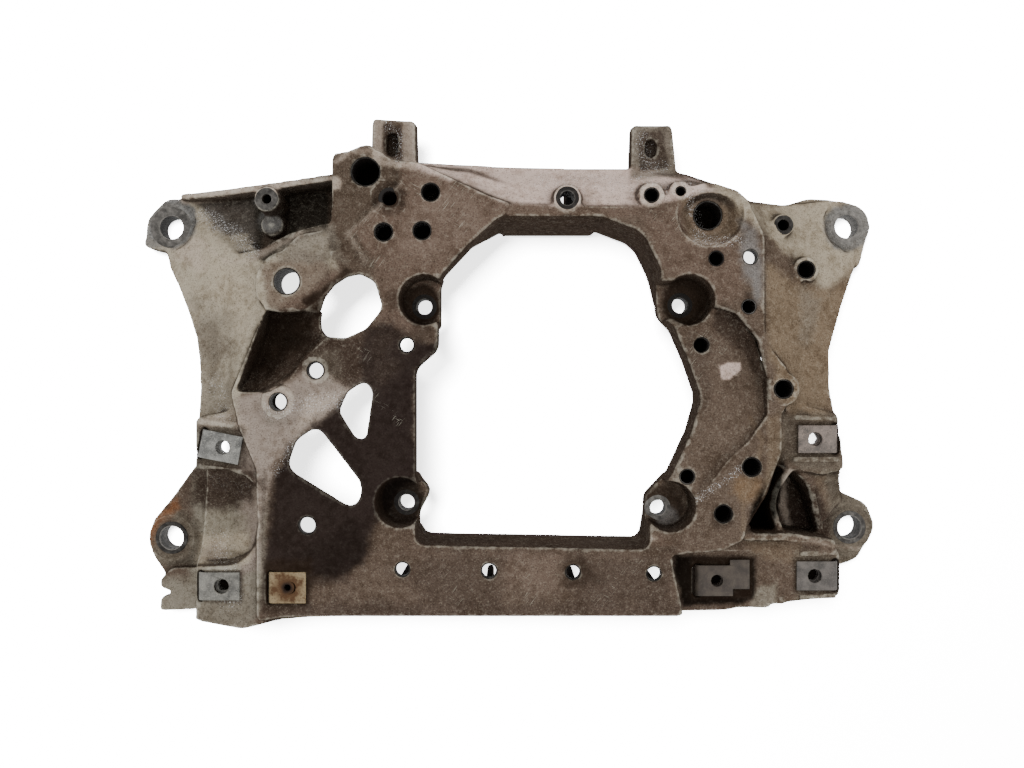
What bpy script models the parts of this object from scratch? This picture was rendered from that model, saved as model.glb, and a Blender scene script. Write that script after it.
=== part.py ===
"""Gearbox mount bracket: an open-backed aluminium casting with six folded clip nuts.

The bracket lies on its four corner ears. +X runs along its length, +Y towards the side with the two
slotted lugs, and +Z out of the front face. Lengths are millimetres; MM turns them into metres.
"""
import math

import bmesh
import bpy

MM = 0.001

# Distances between the ears' bolts: left to right, and upper to lower on the left side
BOLT_SPAN_X = 516.0
BOLT_SPAN_Y = 237.0
# The layout below is drawn for these distances from the middle, and for a frame between these shoulders
LAYOUT_X = 258.0
LAYOUT_Y = 118.5
SHOULDER_X = 130.0
SHOULDER_Y = 60.0

# Heights above the plane that the corner ears bolt against
PAD_FACE = 80.0
PLATE_FACE = 77.0
BAR_FACE = 75.0
LEFT_FACE = 70.0
RIGHT_FACE = 63.0
INNER_EAR_FACE = 74.0
SEAT_FACE = 50.0
LUG_FACE = 50.0
CHANNEL_FLOOR = 28.0
EAR_FACE = 18.0

# Thicknesses of the casting
SKIN = 6.0
WALL = 6.0
RIB = 5.0
TAB = 4.0
LUG_THICKNESS = 12.0
EAR_PLATE = 10.0

# Bolts and bores
EAR_BOSS_R = 18.0
EAR_BORE_R = 9.4
INNER_EAR_R = 22.0
INNER_EAR_BORE_R = 9.2
SEAT_R = 11.3
SEAT_BORE_R = 6.0
RECESS_R = 18.0
DOWEL_BORE_R = 10.2
BOSS_WALL = 5.0

# Folded clip nuts
CLIP_SHEET = 1.6
CLIP_HOLE_PLACE = 0.5
CLIP_GAP = 0.3
BARREL_R = 6.0
BARREL_BORE_R = 4.2
BARREL_DEPTH = 5.0

# How far a cutter runs past the face it cuts, and a quarter circle's radius for each of its sides
PAST = 3.0
FACET = 2.6
# Share of the faces kept when the slivers that the cuts leave on flat faces are collapsed
KEPT_FACES = 0.74

# Middle of the bracket in the coordinates below; the origin is put there
MIDDLE_X = -0.3
MIDDLE_Y = 2.1

# Corners of the central opening, each with its fillet radius
OPENING_TOP = 110.0
OPENING = [(-50, 66, 8), (-50, 16, 6), (-66, 2, 5), (-66, -76, 5), (-57, -86, 7), (-66, -103, 6),
           (-66, -122, 6), (99, -125, 5), (99, -90, 6), (115, -73, 8), (129, -43, 10), (136, -18, 12),
           (127, 8, 14), (117, 31, 6), (108, 40, 8), (107, 73, 12), (94, 99, 12), (65, OPENING_TOP, 10),
           (-6, OPENING_TOP, 8), (-27, 91, 8)]
# How low the wall round the opening reaches on each side, and how far its top side leans inwards
OPENING_TOP_LOW = 5.0
OPENING_UPPER_LEFT_LOW = 48.0
OPENING_RIGHT_LOW = 42.0
OPENING_BOTTOM_LOW = 14.0
OPENING_LEFT_LOW = 62.0
OPENING_TOP_DRAFT = 4.5
WALL_STEP = 1.5

PLATE = [(-125, 155, 4), (-112, 156, 8), (-99, 162, 12), (-84, 150, 5), (-64, 147, 4), (-16, 124, 14),
         (2, 118, 10), (92, 116, 8), (120, 128, 10), (142, 134, 14), (166, 126, 12), (180, 96, 12),
         (180, 22, 8), (196, 2, 8), (201, -14, 8), (192, -30, 6), (192, -57, 8), (181, -85, 8),
         (167, -106, 6), (166, -118, 4), (150, -126, 6), (122, -128, 5), (115, -135, 3), (123, -172, 3),
         (-122, -172, 8), (-161, -173, 6), (-178, -176, 4), (-178, -69, 6), (-190, -40, 8),
         (-196, -15, 6), (-172, 44, 6), (-148, 84, 10), (-126, 94, 6)]
# Machined pad, and its foot, which runs out softly towards the seat below it
PAD = [(-76, 148, 0), (-64, 147, 0), (-16, 124, 0), (1, 118, 0), (-8, 104, 0), (-34, 84, 0), (-60, 86, 0),
       (-84, 84, 0), (-100, 80, 0), (-113, 97, 0), (-93, 114, 0), (-76, 132, 0)]
PAD_FOOT = [(-78, 149, 0), (-64, 148, 0), (-15, 125, 0), (3, 118, 0), (-6, 100, 0), (-36, 72, 0),
            (-60, 64, 0), (-84, 66, 0), (-101, 76, 0), (-116, 97, 0), (-95, 116, 0), (-78, 133, 0)]
# Falling shoulder at the pad's left, down to the rim beside the channel
PAD_SHOULDER = [[(-128, 168, 71), (-114, 168, 75), (-98, 168, 78)],
                [(-128, 130, 70), (-114, 130, 75), (-100, 130, 78)],
                [(-128, 86, 72), (-117, 86, 75.5), (-106, 86, 78)]]
INNER_EAR_LUG = [(-126, 102, 2), (-149, 98, 4), (-161, 86, 8), (-178, 78, 14), (-182, 52, 18),
                 (-166, 40, 16), (-149, 41, 10), (-136, 50, 8), (-126, 60, 6)]
OVAL_HOLE = [(-105, 73, 14), (-88, 56, 16), (-93, 34, 18), (-122, 21, 14), (-137, 30, 10),
             (-128, 58, 16)]
SMALL_WINDOW = [(-101, -6, 4), (-96, -14, 3), (-101, -48, 4), (-108, -47, 4), (-120, -28, 4),
                (-114, -14, 5)]
BIG_WINDOW = [(-135, -38, 6), (-103, -80, 8), (-108, -98, 10), (-157, -68, 8), (-150, -48, 5)]

LEFT_SECTION = [(-223, -32, 5), (-190, -26, 4), (-170, -40, 4), (-170, -178, 3), (-190, -183, 10),
                (-223, -177, 5)]
RIGHT_CLIP_TAB = [(196, -20, 6), (212, -24, 6), (236, -30, 3), (241, -70, 4), (226, -74, 3), (192, -68, 4)]
RIGHT_SECTION = [(112, -122, 3), (166, -114, 4), (197, -114, 4), (232, -121, 4), (238, -132, 3),
                 (238, -160, 3), (200, -164, 8), (173, -167, 6), (158, -171.5, 5), (118, -172, 2)]
RIGHT_POCKET_FLOOR = 20.0
# Floor of the slope below the inner ear: deep along the left wing, it rises to the plate at the right
SLOPE = [[(-173, 44, 50), (-161, 42, 52), (-147, 43, 58), (-131, 41, 73)],
         [(-178, 26, 46), (-163, 24, 48), (-147, 24, 57), (-128, 24, 78)],
         [(-184, 9, 47), (-170, 8, 51), (-156, 8, 62), (-144, 8, 78)],
         [(-189, -5, 54), (-178, -6, 60), (-168, -7, 69), (-156, -8, 78)],
         [(-193, -14, 66), (-183, -14, 69), (-174, -14, 73), (-166, -14, 78)]]
SLOPE_WALL = [(-174, 46, 40, 66), (-180, 26, 38, 66), (-186, 8, 38, 67), (-195, -16, 44, 72)]
# Floor of the curved channel on the right strip, from the opening to its raised outer edge
STRIP_CHANNEL = [[(113, 27, 75), (124, 34, 74), (134, 40, 71), (144, 46, 69)],
                 [(117, 16, 74), (136, 22, 73.5), (150, 32, 68), (160, 41, 65)],
                 [(122, 3, 74), (144, 8, 73.5), (161, 15, 67), (175, 23, 63)],
                 [(128, -15, 74), (150, -12, 74), (168, -8, 69), (181.5, -4, 64)],
                 [(128, -36, 74), (150, -34, 74.5), (168, -32, 74), (181.5, -30, 71)],
                 [(121, -54, 74), (138, -53, 74.5), (154, -52, 74), (169, -48, 73)],
                 [(112, -70, 74), (126, -70, 74.5), (140, -68, 74), (153, -63, 73.5)],
                 [(108, -88, 74.5), (117, -88, 74.5), (126, -87, 74.5), (136, -86, 74)]]
# Floor of the recess at the lower right, which rises to the right section
RIGHT_RECESS_FLOOR = 60.0
RECESS_RAMP = [[(114.6, -129, RIGHT_RECESS_FLOOR), (175, -129, RIGHT_RECESS_FLOOR), (194, -127, 64)],
               [(124.4, -178, RIGHT_RECESS_FLOOR), (175, -178, RIGHT_RECESS_FLOOR), (194, -178, 64)]]
# Floor of the scoop in the left section: deep at its top, it rises towards the lower clip
SCOOP = [[(-256, -69, 44), (-222, -69, 44), (-200, -69, 44), (-188, -74, 48), (-181, -80, 70.6)],
         [(-256, -82, 40), (-222, -82, 41), (-200, -82, 41), (-186, -84, 46), (-178, -86, 70.6)],
         [(-256, -108, 42), (-222, -108, 46), (-200, -108, 46), (-186, -108, 50), (-177, -108, 70.6)],
         [(-256, -126, 50), (-222, -126, 54), (-200, -126, 54), (-187, -125, 58), (-179, -122, 70.6)],
         [(-256, -138, 66), (-222, -138, 67), (-200, -137, 67), (-190, -134, 68), (-184, -130, 71.4)]]

# Rows of the dished skins (x, y, z): left wing, right wing, upper band and the slope above the pocket
LEFT_WING = [[(-243, 124, 18), (-221, 104, 36), (-200, 87, 48), (-176, 91, 57), (-128, 107, 64)],
             [(-263, 94, 16), (-232, 84, 36), (-206, 76, 49), (-180, 78, 60), (-138, 90, 69)],
             [(-249, 64, 28), (-228, 62, 41), (-208, 60, 51), (-182, 60, 63), (-158, 64, 71)],
             [(-231, 26, 44), (-217, 31, 45), (-200, 36, 52), (-183, 41, 64), (-170, 43, 74)],
             [(-225, -10, 54), (-216, -9, 52), (-206, -9, 57), (-197, -10, 68), (-186, -12, 75)],
             [(-224, -38, 62), (-216, -40, 62), (-208, -40, 63), (-199, -40, 69), (-186, -42, 73)]]
RIGHT_WING = [[(205, 127, 26), (186, 126, 40), (172, 124, 56), (160, 124, 70)],
              [(246, 132, 18), (214, 110, 33), (190, 100, 54), (174, 96, 74)],
              [(266, 86, 18), (238, 74, 36), (206, 68, 52), (177, 62, 75)],
              [(250, 52, 32), (229, 46, 44), (205, 42, 55), (177, 36, 75)],
              [(235, 16, 48), (222, 14, 53), (208, 10, 58), (190, 6, 74)],
              [(233, -10, 55), (222, -10, 56), (211, -10, 60), (196, -10, 74)],
              [(235, -36, 62), (223, -36, 62), (210, -34, 63), (198, -32, 66)]]
UPPER_BAND = [[(-69, 153, LUG_FACE), (-67, 150, 62), (-64, 145, 76)],
              [(-30, 151, LUG_FACE), (-32, 144, 62), (-36, 131, 76)],
              [(0, 149, LUG_FACE), (0, 134, 64), (0, 118, 76)],
              [(44, 148, LUG_FACE), (44, 133, 64), (44, 115, 76)],
              [(90, 148, LUG_FACE), (90, 133, 64), (90, 115, 76)],
              [(126, 146, LUG_FACE), (124, 138, 62), (122, 126, 76)],
              [(150, 138, LUG_FACE), (146, 134, 62), (142, 130, 76)],
              [(180, 125, 44), (171, 121, 60), (159, 118, 75)]]
RIGHT_SLOPE = [[(206, -66, 62), (226, -68, 62), (240, -70, 60)],
               [(216, -80, 56), (230, -80, 50), (245, -80, 42)],
               [(222, -94, 46), (238, -94, 34), (254, -94, 20)],
               [(228, -118, 34), (240, -112, 24), (252, -108, 18)]]
# Rows of the smooth floor of the channel
CHANNEL_ROWS = [[(-243, 123, 17.6), (-245, 126, 17.6), (-247, 130, 17.6), (-249, 134, 17.6)],
                [(-222, 104, 35), (-224, 113, 30), (-225, 122, 27), (-226, 132, 26)],
                [(-203, 88, 46.5), (-204, 99, 37), (-204, 114, 30), (-204, 133, CHANNEL_FLOOR)],
                [(-182, 85.5, 49), (-182, 93, 35), (-181, 112, CHANNEL_FLOOR), (-180, 134, CHANNEL_FLOOR)],
                [(-152, 100, 50), (-152, 105, 33), (-151, 120, CHANNEL_FLOOR), (-150, 138, CHANNEL_FLOOR)],
                [(-122, 107, 50), (-122, 111, 32), (-122, 124, CHANNEL_FLOOR), (-122, 141, CHANNEL_FLOOR)]]

EARS = [(-258, 111), (-258, -126), (258, 112), (260, -118)]
INNER_EAR = (-157, 64)
SEATS = [(-62, 48), (125, 49), (-75, -95), (109, -99)]
RECESS_CENTRES = [(-60, 51), (127.5, 51), (-77, -92), (114, -95)]
# How far each recess opens towards the central opening
RECESS_MOUTHS = [[(-60, 38), (-30, 38), (-30, 64), (-60, 64)], [(127, 38), (96, 38), (96, 64), (127, 64)],
                 [(-77, -103), (-40, -103), (-40, -80), (-77, -80)],
                 [(114, -106), (84, -106), (84, -82), (114, -82)]]
DOWEL_HOLES = [(-101, 141, PLATE_FACE), (142, 112, PLATE_FACE)]
# Bowl round the second dowel hole: its rim above the plate and its foot at the hole
DOWEL_BOWL = (143, 106, 30.5, 23.5)
DOWEL_BOWL_FOOT = (142, 112, 12, 12)
DOWEL_BOWL_FLOOR = 66.0
DOWEL_BOWL_MASS = (143, 108, 29, 24)
DOWEL_BOWL_MASS_FOOT = (142, 112, 18, 18)
PAD_HOLES = [(-84, 122, 5.6), (-55, 126, 6.4), (-88, 98, 6.4), (-61, 99, 6.4)]
STRIP_BLIND = [(146, 80, 5.2), (169, 46, 5.0), (136, 19, 5.4), (126, -74, 5.2), (171, -67, 6.6),
               (151, -100, 6.3), (100, 124, 5.0), (121, 127, 3.4)]
PLATE_THROUGH = [(-136, 1, 5.9), (-162, -21, 6.2), (-72, 19, 5.1), (-142, -108, 6.1), (-75, -139, 5.1),
                 (-14, -140, 5.4), (45, -141, 5.1), (102, -142, 5.1), (170, 81, 5.2), (41, 122, 5.4)]
MID_BOSS = (193, -12)
CHANNEL_BOSS = (-175, 125)
CHANNEL_LUG = (-175, 109)
WING_BOSS_UPPER = (201, 108)
WING_BOSS_LOWER = (217, 75)
MID_BOSS_R = 12.0
SPOT_FACE_R = 20.0
# Groove that runs down from the lower boss on the right wing
WING_GROOVE = [(213, 68, 0), (221, 66, 0), (222, 44, 0)]
WING_GROOVE_FLOOR = 46.0

# Plates that carry the ears, and the two prongs below the lower left ear
EAR_PLATES = [
    [(-280, 97, 3), (-272, 94, 3), (-252, 90, 6), (-230, 108, 8), (-236, 132, 6), (-262, 134, 6),
     (-277, 118, 6)],
    [(-240, -70, 4), (-216, -68, 3), (-216, -156, 3), (-262, -156, 6), (-274, -138, 8), (-274, -114, 10),
     (-258, -95, 8)],
    [(206, 127, 6), (230, 134, 10), (262, 131, 12), (276, 112, 12), (268, 80, 6), (244, 78, 8)],
    [(216, -72, 4), (242, -72, 4), (252, -90, 8), (274, -100, 6), (280, -117, 6), (266, -143, 8),
     (238, -152, 6), (216, -152, 4)],
]
PRONGS = [(-216, -146, 3), (-257, -148, 4), (-265, -157, 3), (-264, -164, 2.5), (-250, -165.6, 0),
          (-250, -167.4, 0), (-264, -169.4, 2.5), (-266, -181, 2), (-216, -178, 3)]
LUG_LEFT = [(-100, 186, 3), (-69, 184, 3), (-68, 146, 2), (-101, 146, 2)]
LUG_RIGHT = [(90, 181, 3), (119, 181, 3), (123, 140, 2), (89, 140, 2)]
# Groove between each lug's side rails, and the blind slot in it
LUG_GROOVES = [[(-95, 192, 0), (-75, 192, 0), (-74, 156, 3), (-96, 156, 3)],
               [(95, 190, 0), (114, 190, 0), (117, 149, 3), (94, 149, 3)]]
LUG_SLOTS = [[(-90, 176, 3), (-82, 176, 3), (-82, 159, 3), (-90, 159, 3)],
             [(100, 171, 3), (108, 171, 3), (108, 158, 3), (100, 158, 3)]]
LUG_GROOVE_DEPTH = 2.2
# How far the inner ear's lug stays inside the cut of its machined face
LUG_INSET = 0.6
# Raised lips beside the clips that sit on the outer tabs
LIP = 3.2
LEFT_LIPS = [[(-221.7, -34.6, 0), (-189, -39, 0)], [(-221.7, -66.8, 0), (-189, -70.6, 0)],
             [(-217, -138.5, 0), (-190, -138.5, 0)]]
RIGHT_LIPS = [[(204, -32.5, 0), (235, -33.5, 0)], [(203, -62.5, 0), (236, -62.5, 0)],
              [(208, -130, 0), (235, -129, 0)], [(208, -161, 0), (234, -160, 0)]]


def shifted(place, span, layout, shoulder):
    """One coordinate of the layout, moved outwards beyond the frame's shoulder as the bolts move apart."""
    share = min(max((abs(place) - shoulder) / (layout - shoulder), 0.0), 1.0)
    return place + math.copysign(share * (span / 2 - layout), place)


def at(x, y):
    """Point of the layout, placed for the bolts' distances."""
    return shifted(x, BOLT_SPAN_X, LAYOUT_X, SHOULDER_X), shifted(y, BOLT_SPAN_Y, LAYOUT_Y, SHOULDER_Y)


def rounded(corners, step_deg=40):
    """Outline through corners (x, y, radius), each replaced by an arc tangent to both its sides."""
    points = []
    corners = [(*at(x, y), radius) for x, y, radius in corners]
    for index, (x, y, radius) in enumerate(corners):
        before, after = corners[index - 1], corners[(index + 1) % len(corners)]
        ux, uy = before[0] - x, before[1] - y
        vx, vy = after[0] - x, after[1] - y
        reach_u, reach_v = math.hypot(ux, uy), math.hypot(vx, vy)
        ux, uy, vx, vy = ux / reach_u, uy / reach_u, vx / reach_v, vy / reach_v
        half = math.acos(max(-1.0, min(1.0, ux * vx + uy * vy))) / 2
        cut = min(radius / math.tan(half), reach_u * 0.48, reach_v * 0.48)
        radius = cut * math.tan(half)
        sweep = math.pi - 2 * half
        if radius < 0.2 or sweep < 0.05:
            points.append((x, y))
            continue
        bx, by = ux + vx, uy + vy
        reach = radius / math.sin(half) / math.hypot(bx, by)
        cx, cy = x + bx * reach, y + by * reach
        start = math.atan2(y + uy * cut - cy, x + ux * cut - cx)
        turn = sweep if ux * vy - uy * vx < 0 else -sweep
        steps = max(1, round(math.degrees(sweep) / step_deg))
        points += [(cx + radius * math.cos(start + turn * k / steps),
                    cy + radius * math.sin(start + turn * k / steps)) for k in range(steps + 1)]
    return points


def circle(x, y, radius, segments=None):
    """Outline of a circle, with more sides the larger it is."""
    segments = segments or 4 * max(3, min(6, round(radius / FACET)))
    return [(x + radius * math.cos(2 * math.pi * k / segments),
             y + radius * math.sin(2 * math.pi * k / segments)) for k in range(segments)]


def oval(x, y, reach_x, reach_y, segments=20):
    """Outline of an ellipse."""
    x, y = at(x, y)
    return [(x + reach_x * math.cos(2 * math.pi * k / segments),
             y + reach_y * math.sin(2 * math.pi * k / segments)) for k in range(segments)]


def smooth(points, steps):
    """Catmull-Rom curve through points of any dimension, with the given steps in each span."""
    ends = [points[0]] + list(points) + [points[-1]]
    curve = []
    for a, b, c, d in zip(ends, ends[1:], ends[2:], ends[3:]):
        for k in range(steps):
            t = k / steps
            curve.append(tuple(0.5 * (2 * q + (r - p) * t + (2 * p - 5 * q + 4 * r - s) * t ** 2
                                      + (3 * q - p - 3 * r + s) * t ** 3)
                               for p, q, r, s in zip(a, b, c, d)))
    return curve + [tuple(points[-1])]


def signed_area(outline):
    """Twice the signed area, above zero when the outline runs anticlockwise."""
    return sum(ax * by - bx * ay for (ax, ay), (bx, by) in zip(outline, outline[1:] + outline[:1]))


def offset(outline, distance):
    """Outline moved outwards by a distance, with mitred corners."""
    sign = 1 if signed_area(outline) > 0 else -1
    moved = []
    for index, (x, y) in enumerate(outline):
        px, py = outline[index - 1]
        nx, ny = outline[(index + 1) % len(outline)]
        ax, ay = x - px, y - py
        bx, by = nx - x, ny - y
        la, lb = math.hypot(ax, ay), math.hypot(bx, by)
        mx, my = (ay / la + by / lb) * sign, -(ax / la + bx / lb) * sign
        size = max(mx * mx + my * my, 0.5)
        moved.append((x + 2 * mx * distance / size, y + 2 * my * distance / size))
    return moved


def body(name, points, faces):
    """Closed body from points in millimetres, with its faces turned outwards."""
    mesh = bpy.data.meshes.new(name)
    mesh.from_pydata([((x - MIDDLE_X) * MM, (y - MIDDLE_Y) * MM, z * MM) for x, y, z in points], [], faces)
    work = bmesh.new()
    work.from_mesh(mesh)
    bmesh.ops.recalc_face_normals(work, faces=work.faces)
    bmesh.ops.triangulate(work, faces=[f for f in work.faces if len(f.verts) > 4])
    work.to_mesh(mesh)
    work.free()
    item = bpy.data.objects.new(name, mesh)
    bpy.context.scene.collection.objects.link(item)
    return item


def prism(name, outline, low, high, draft=0.0, foot=None):
    """Upright prism whose foot is larger than its top by the draft, or has an outline of its own."""
    foot = foot or (offset(outline, draft) if draft else outline)
    count = len(outline)
    points = [(x, y, low) for x, y in foot] + [(x, y, high) for x, y in outline]
    sides = [(k, (k + 1) % count, count + (k + 1) % count, count + k) for k in range(count)]
    return body(name, points, sides + [tuple(range(count))[::-1], tuple(range(count, 2 * count))])


def wall(name, path, thickness, closed=False):
    """Upright wall along a path of (x, y, low, high); a closed path is an outline that is placed already."""
    count = len(path)
    if not closed:
        path = [(*at(x, y), low, high) for x, y, low, high in path]
    points = []
    for index, (x, y, low, high) in enumerate(path):
        before = path[index - 1] if closed or index else path[index]
        after = path[(index + 1) % count] if closed or index < count - 1 else path[index]
        dx, dy = after[0] - before[0], after[1] - before[1]
        size = math.hypot(dx, dy)
        nx, ny = -dy / size * thickness / 2, dx / size * thickness / 2
        points += [(x + nx, y + ny, low), (x + nx, y + ny, high), (x - nx, y - ny, high),
                   (x - nx, y - ny, low)]
    faces = []
    for index in range(count if closed else count - 1):
        a, b = 4 * index, 4 * ((index + 1) % count)
        faces += [(a + k, a + (k + 1) % 4, b + (k + 1) % 4, b + k) for k in range(4)]
    if not closed:
        faces += [(0, 1, 2, 3), tuple(4 * (count - 1) + k for k in (3, 2, 1, 0))]
    return body(name, points, faces)


def skin(name, rows, steps=(2, 2), ceiling=None):
    """Smooth surface through rows of (x, y, z), a skin thick, or the cutter between it and a flat ceiling."""
    lines = [smooth([(*at(x, y), z) for x, y, z in row], steps[0]) for row in rows]
    columns = [smooth(column, steps[1]) for column in zip(*lines)]
    across, along = len(columns), len(columns[0])
    top = [point for column in columns for point in column]
    points = top + [(x, y, z - SKIN if ceiling is None else ceiling) for x, y, z in top]
    under = across * along
    faces = []
    for i in range(across - 1):
        for j in range(along - 1):
            a, b, c, d = i * along + j, (i + 1) * along + j, (i + 1) * along + j + 1, i * along + j + 1
            faces += [(a, b, c), (a, c, d), (a + under, c + under, b + under),
                      (a + under, d + under, c + under)]
    rim = ([(i, 0) for i in range(across - 1)] + [(across - 1, j) for j in range(along - 1)]
           + [(i, along - 1) for i in range(across - 1, 0, -1)] + [(0, j) for j in range(along - 1, 0, -1)])
    ring = [i * along + j for i, j in rim]
    faces += [(a, b, b + under, a + under) for a, b in zip(ring, ring[1:] + ring[:1])]
    return body(name, points, faces)


def group(name, items):
    """Collection of the bodies that one Boolean step takes."""
    collection = bpy.data.collections.new(name)
    bpy.context.scene.collection.children.link(collection)
    for item in items:
        collection.objects.link(item)
        item.hide_render = True
        item.display_type = "WIRE"
    return collection


def combine(target, name, items, operation):
    """Add or cut a group of bodies on the target with one Boolean modifier."""
    step = target.modifiers.new(name, "BOOLEAN")
    step.operand_type = "COLLECTION"
    step.collection = group(name, items)
    step.operation = operation
    step.solver = "EXACT"


def opening_low(x, y):
    """How low the wall round the opening reaches at a point."""
    if y > 100 or (x > 0 and y > 60):
        return OPENING_TOP_LOW
    if y < -110:
        return OPENING_BOTTOM_LOW
    if x > 0:
        return OPENING_RIGHT_LOW
    return OPENING_UPPER_LEFT_LOW if y > 60 else OPENING_LEFT_LOW


def opening_wall():
    """Wall round the central opening, deep at the top and bottom and shallow at the left."""
    high = PLATE_FACE - WALL_STEP
    path = [(x, y, opening_low(x, y), high) for x, y in offset(rounded(OPENING), WALL / 2)]
    lean = OPENING_TOP - OPENING_TOP_DRAFT / 2
    top = [(-5, lean, OPENING_TOP_LOW, high), (64, lean, OPENING_TOP_LOW, high)]
    return [wall("opening_wall", path, WALL + 1, closed=True),
            wall("opening_top_lean", top, OPENING_TOP_DRAFT + 2)]


def opening_cutter():
    """Through cut of the opening, whose top side leans inwards towards the back."""
    foot = [(x, y - OPENING_TOP_DRAFT if y == OPENING_TOP else y, r) for x, y, r in OPENING]
    return prism("cut_opening", rounded(OPENING), -PAST, PAD_FACE + PAST, foot=rounded(foot))


def frame_masses():
    """Raised pad, inner ear's lug, left and right sections and the wall of the central opening."""
    return [
        prism("pad", rounded(PAD), PLATE_FACE - WALL_STEP, PAD_FACE, foot=rounded(PAD_FOOT)),
        prism("inner_ear_lug", offset(rounded(INNER_EAR_LUG), -LUG_INSET), INNER_EAR_FACE - SKIN,
              INNER_EAR_FACE + 1),
        prism("left_section", rounded(LEFT_SECTION), LEFT_FACE - SKIN, LEFT_FACE, draft=0.5),
        prism("right_section", rounded(RIGHT_SECTION), RIGHT_FACE - SKIN, RIGHT_FACE, draft=0.5),
        prism("right_clip_tab", rounded(RIGHT_CLIP_TAB), RIGHT_FACE - SKIN, RIGHT_FACE, draft=0.5),
    ] + opening_wall()


def cup(name, rows):
    """Floor a skin thick under a hollow, standing a little above it and past its edges."""
    points = [point for row in rows for point in row]
    cx = sum(x for x, _, _ in points) / len(points)
    cy = sum(y for _, y, _ in points) / len(points)
    grown = []
    for row in rows:
        shares = [WALL / 2 / math.hypot(x - cx, y - cy) for x, y, _ in row]
        grown.append([(x + (x - cx) * share, y + (y - cy) * share, min(z, PLATE_FACE - 3) + 1)
                      for (x, y, z), share in zip(row, shares)])
    return skin(name, grown, (1, 1))


def hollow(name, rows):
    """Cutter that leaves a smooth floor through rows of (x, y, z)."""
    return skin(name, rows, (1, 1), ceiling=PAD_FACE + PAST)


def wing_skins():
    """Dished skins that fall from the frame to the rim, the ears and the upper edge."""
    return [skin("right_slope", RIGHT_SLOPE, (1, 1)), skin("left_wing", LEFT_WING, (1, 2)),
            skin("right_wing", RIGHT_WING, (1, 1)), skin("upper_band", UPPER_BAND, (1, 1))]


def channel_masses():
    """Flange, crest wall and smooth floor of the channel between the upper left ear and the pad."""
    flange = smooth([(-250, 134, 6, 22), (-222, 132, 12, 42), (-185, 134, 16, 54), (-156, 137, 18, 58),
                     (-124, 141, 20, 62)], 2)
    crest = smooth([(-240, 121, 6, 17), (-221, 102, 14, 35), (-201, 86, 20, 46), (-188, 83, 22, 51),
                    (-176, 89, 24, 56), (-154, 98, 24, 66), (-124, 104, 24, 73)], 2)
    return [skin("channel_floor", CHANNEL_ROWS, (1, 1)), wall("channel_flange", flange, RIB),
            wall("channel_crest", crest, RIB)]


def pocket_blocks():
    """Floors behind the hollows and pockets, so that each keeps its skin after it is cut."""
    pocket = [(176, -84, 3), (190, -56, 3), (238, -60, 3), (246, -84, 4), (238, -128, 4), (164, -118, 3)]
    recess = [(112, -124, 3), (188, -124, 3), (188, -170, 3), (116, -171, 3)]
    return [
        cup("slope_cup", SLOPE), cup("strip_channel_cup", STRIP_CHANNEL),
        cup("scoop_cup", [row[1:] for row in SCOOP]),
        wall("slope_wall", SLOPE_WALL, WALL),
        prism("right_recess_floor", rounded(recess), RIGHT_RECESS_FLOOR - TAB, RIGHT_FACE - 1),
        prism("right_pocket_floor", rounded(pocket), RIGHT_POCKET_FLOOR - SKIN, RIGHT_POCKET_FLOOR),
    ]


def skirts():
    """Outer walls that drop from the rims of the frame."""
    lower = smooth([(-224, -174, 14, 67), (-190, -180, 14, 67), (-162, -173, 16, 70), (-122, -169, 16, 72),
                    (0, -169, 16, 74), (125, -169, 16, 74), (180, -165, 18, 72), (204, -162, 20, 62),
                    (236, -158, 22, 61)], 1)
    upper = smooth([(-66, 150, 14, 54), (0, 147, 12, 52), (44, 146, 12, 52), (90, 146, 12, 52),
                    (126, 143, 12, 50), (152, 135, 12, 48), (178, 124, 10, 42), (206, 124, 6, 27)], 1)
    left = [(-220.5, -36, 30, 66), (-220.5, -66, 14, 66), (-220.5, -138, 8, 66), (-220.5, -172, 10, 66)]
    pad_side = [(-123, 153, 20, 76), (-123, 96, 24, 76)]
    right = [(196, -28, 30, 60), (191, -56, 16, 68), (180, -85, 16, 74), (166, -108, 16, 74),
             (168, -117, 16, 72), (200, -118, 14, 66.5), (234, -123, 10, 65)]
    right_rib = smooth([(204, -68, 16, 62), (194, -82, 16, 60), (191, -98, 16, 58), (196, -116, 16, 62)], 2)
    right_outer = smooth([(208, -70, 16, 61), (219, -82, 16, 54), (226, -98, 16, 44), (232, -120, 14, 40)], 2)
    return [wall("lower_skirt", lower, WALL), wall("upper_skirt", upper, WALL),
            wall("left_skirt", left, WALL), wall("pad_side", pad_side, WALL),
            wall("right_skirt", right, WALL),
            wall("right_pocket_rib", right_rib, RIB), wall("right_pocket_wall", right_outer, RIB)]


def clip_lips():
    """Raised lips on both sides of the outer clips."""
    return [wall("%s_lip_%d" % (side, k), [(x, y, face - TAB, face + LIP) for x, y, _ in line], TAB)
            for side, face, lines in (("left", LEFT_FACE, LEFT_LIPS), ("right", RIGHT_FACE, RIGHT_LIPS))
            for k, line in enumerate(lines)]


def ear_masses():
    """Four corner ears with the plates that carry them, and the two prongs below the left one."""
    items = [boss("ear_%d" % k, x, y, EAR_BOSS_R, 0, EAR_FACE, 0) for k, (x, y) in enumerate(EARS)]
    items += [prism("ear_plate_%d" % k, rounded(outline), EAR_FACE - EAR_PLATE - 2, EAR_FACE - WALL_STEP)
              for k, outline in enumerate(EAR_PLATES)]
    items.append(prism("prongs", rounded(PRONGS), 14, 24))
    return items


def boss(name, x, y, radius, low, high, draft=1.0):
    """Round boss at a point of the layout, wider at its foot by the draft."""
    return prism(name, circle(*at(x, y), radius), low, high, draft)


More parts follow.
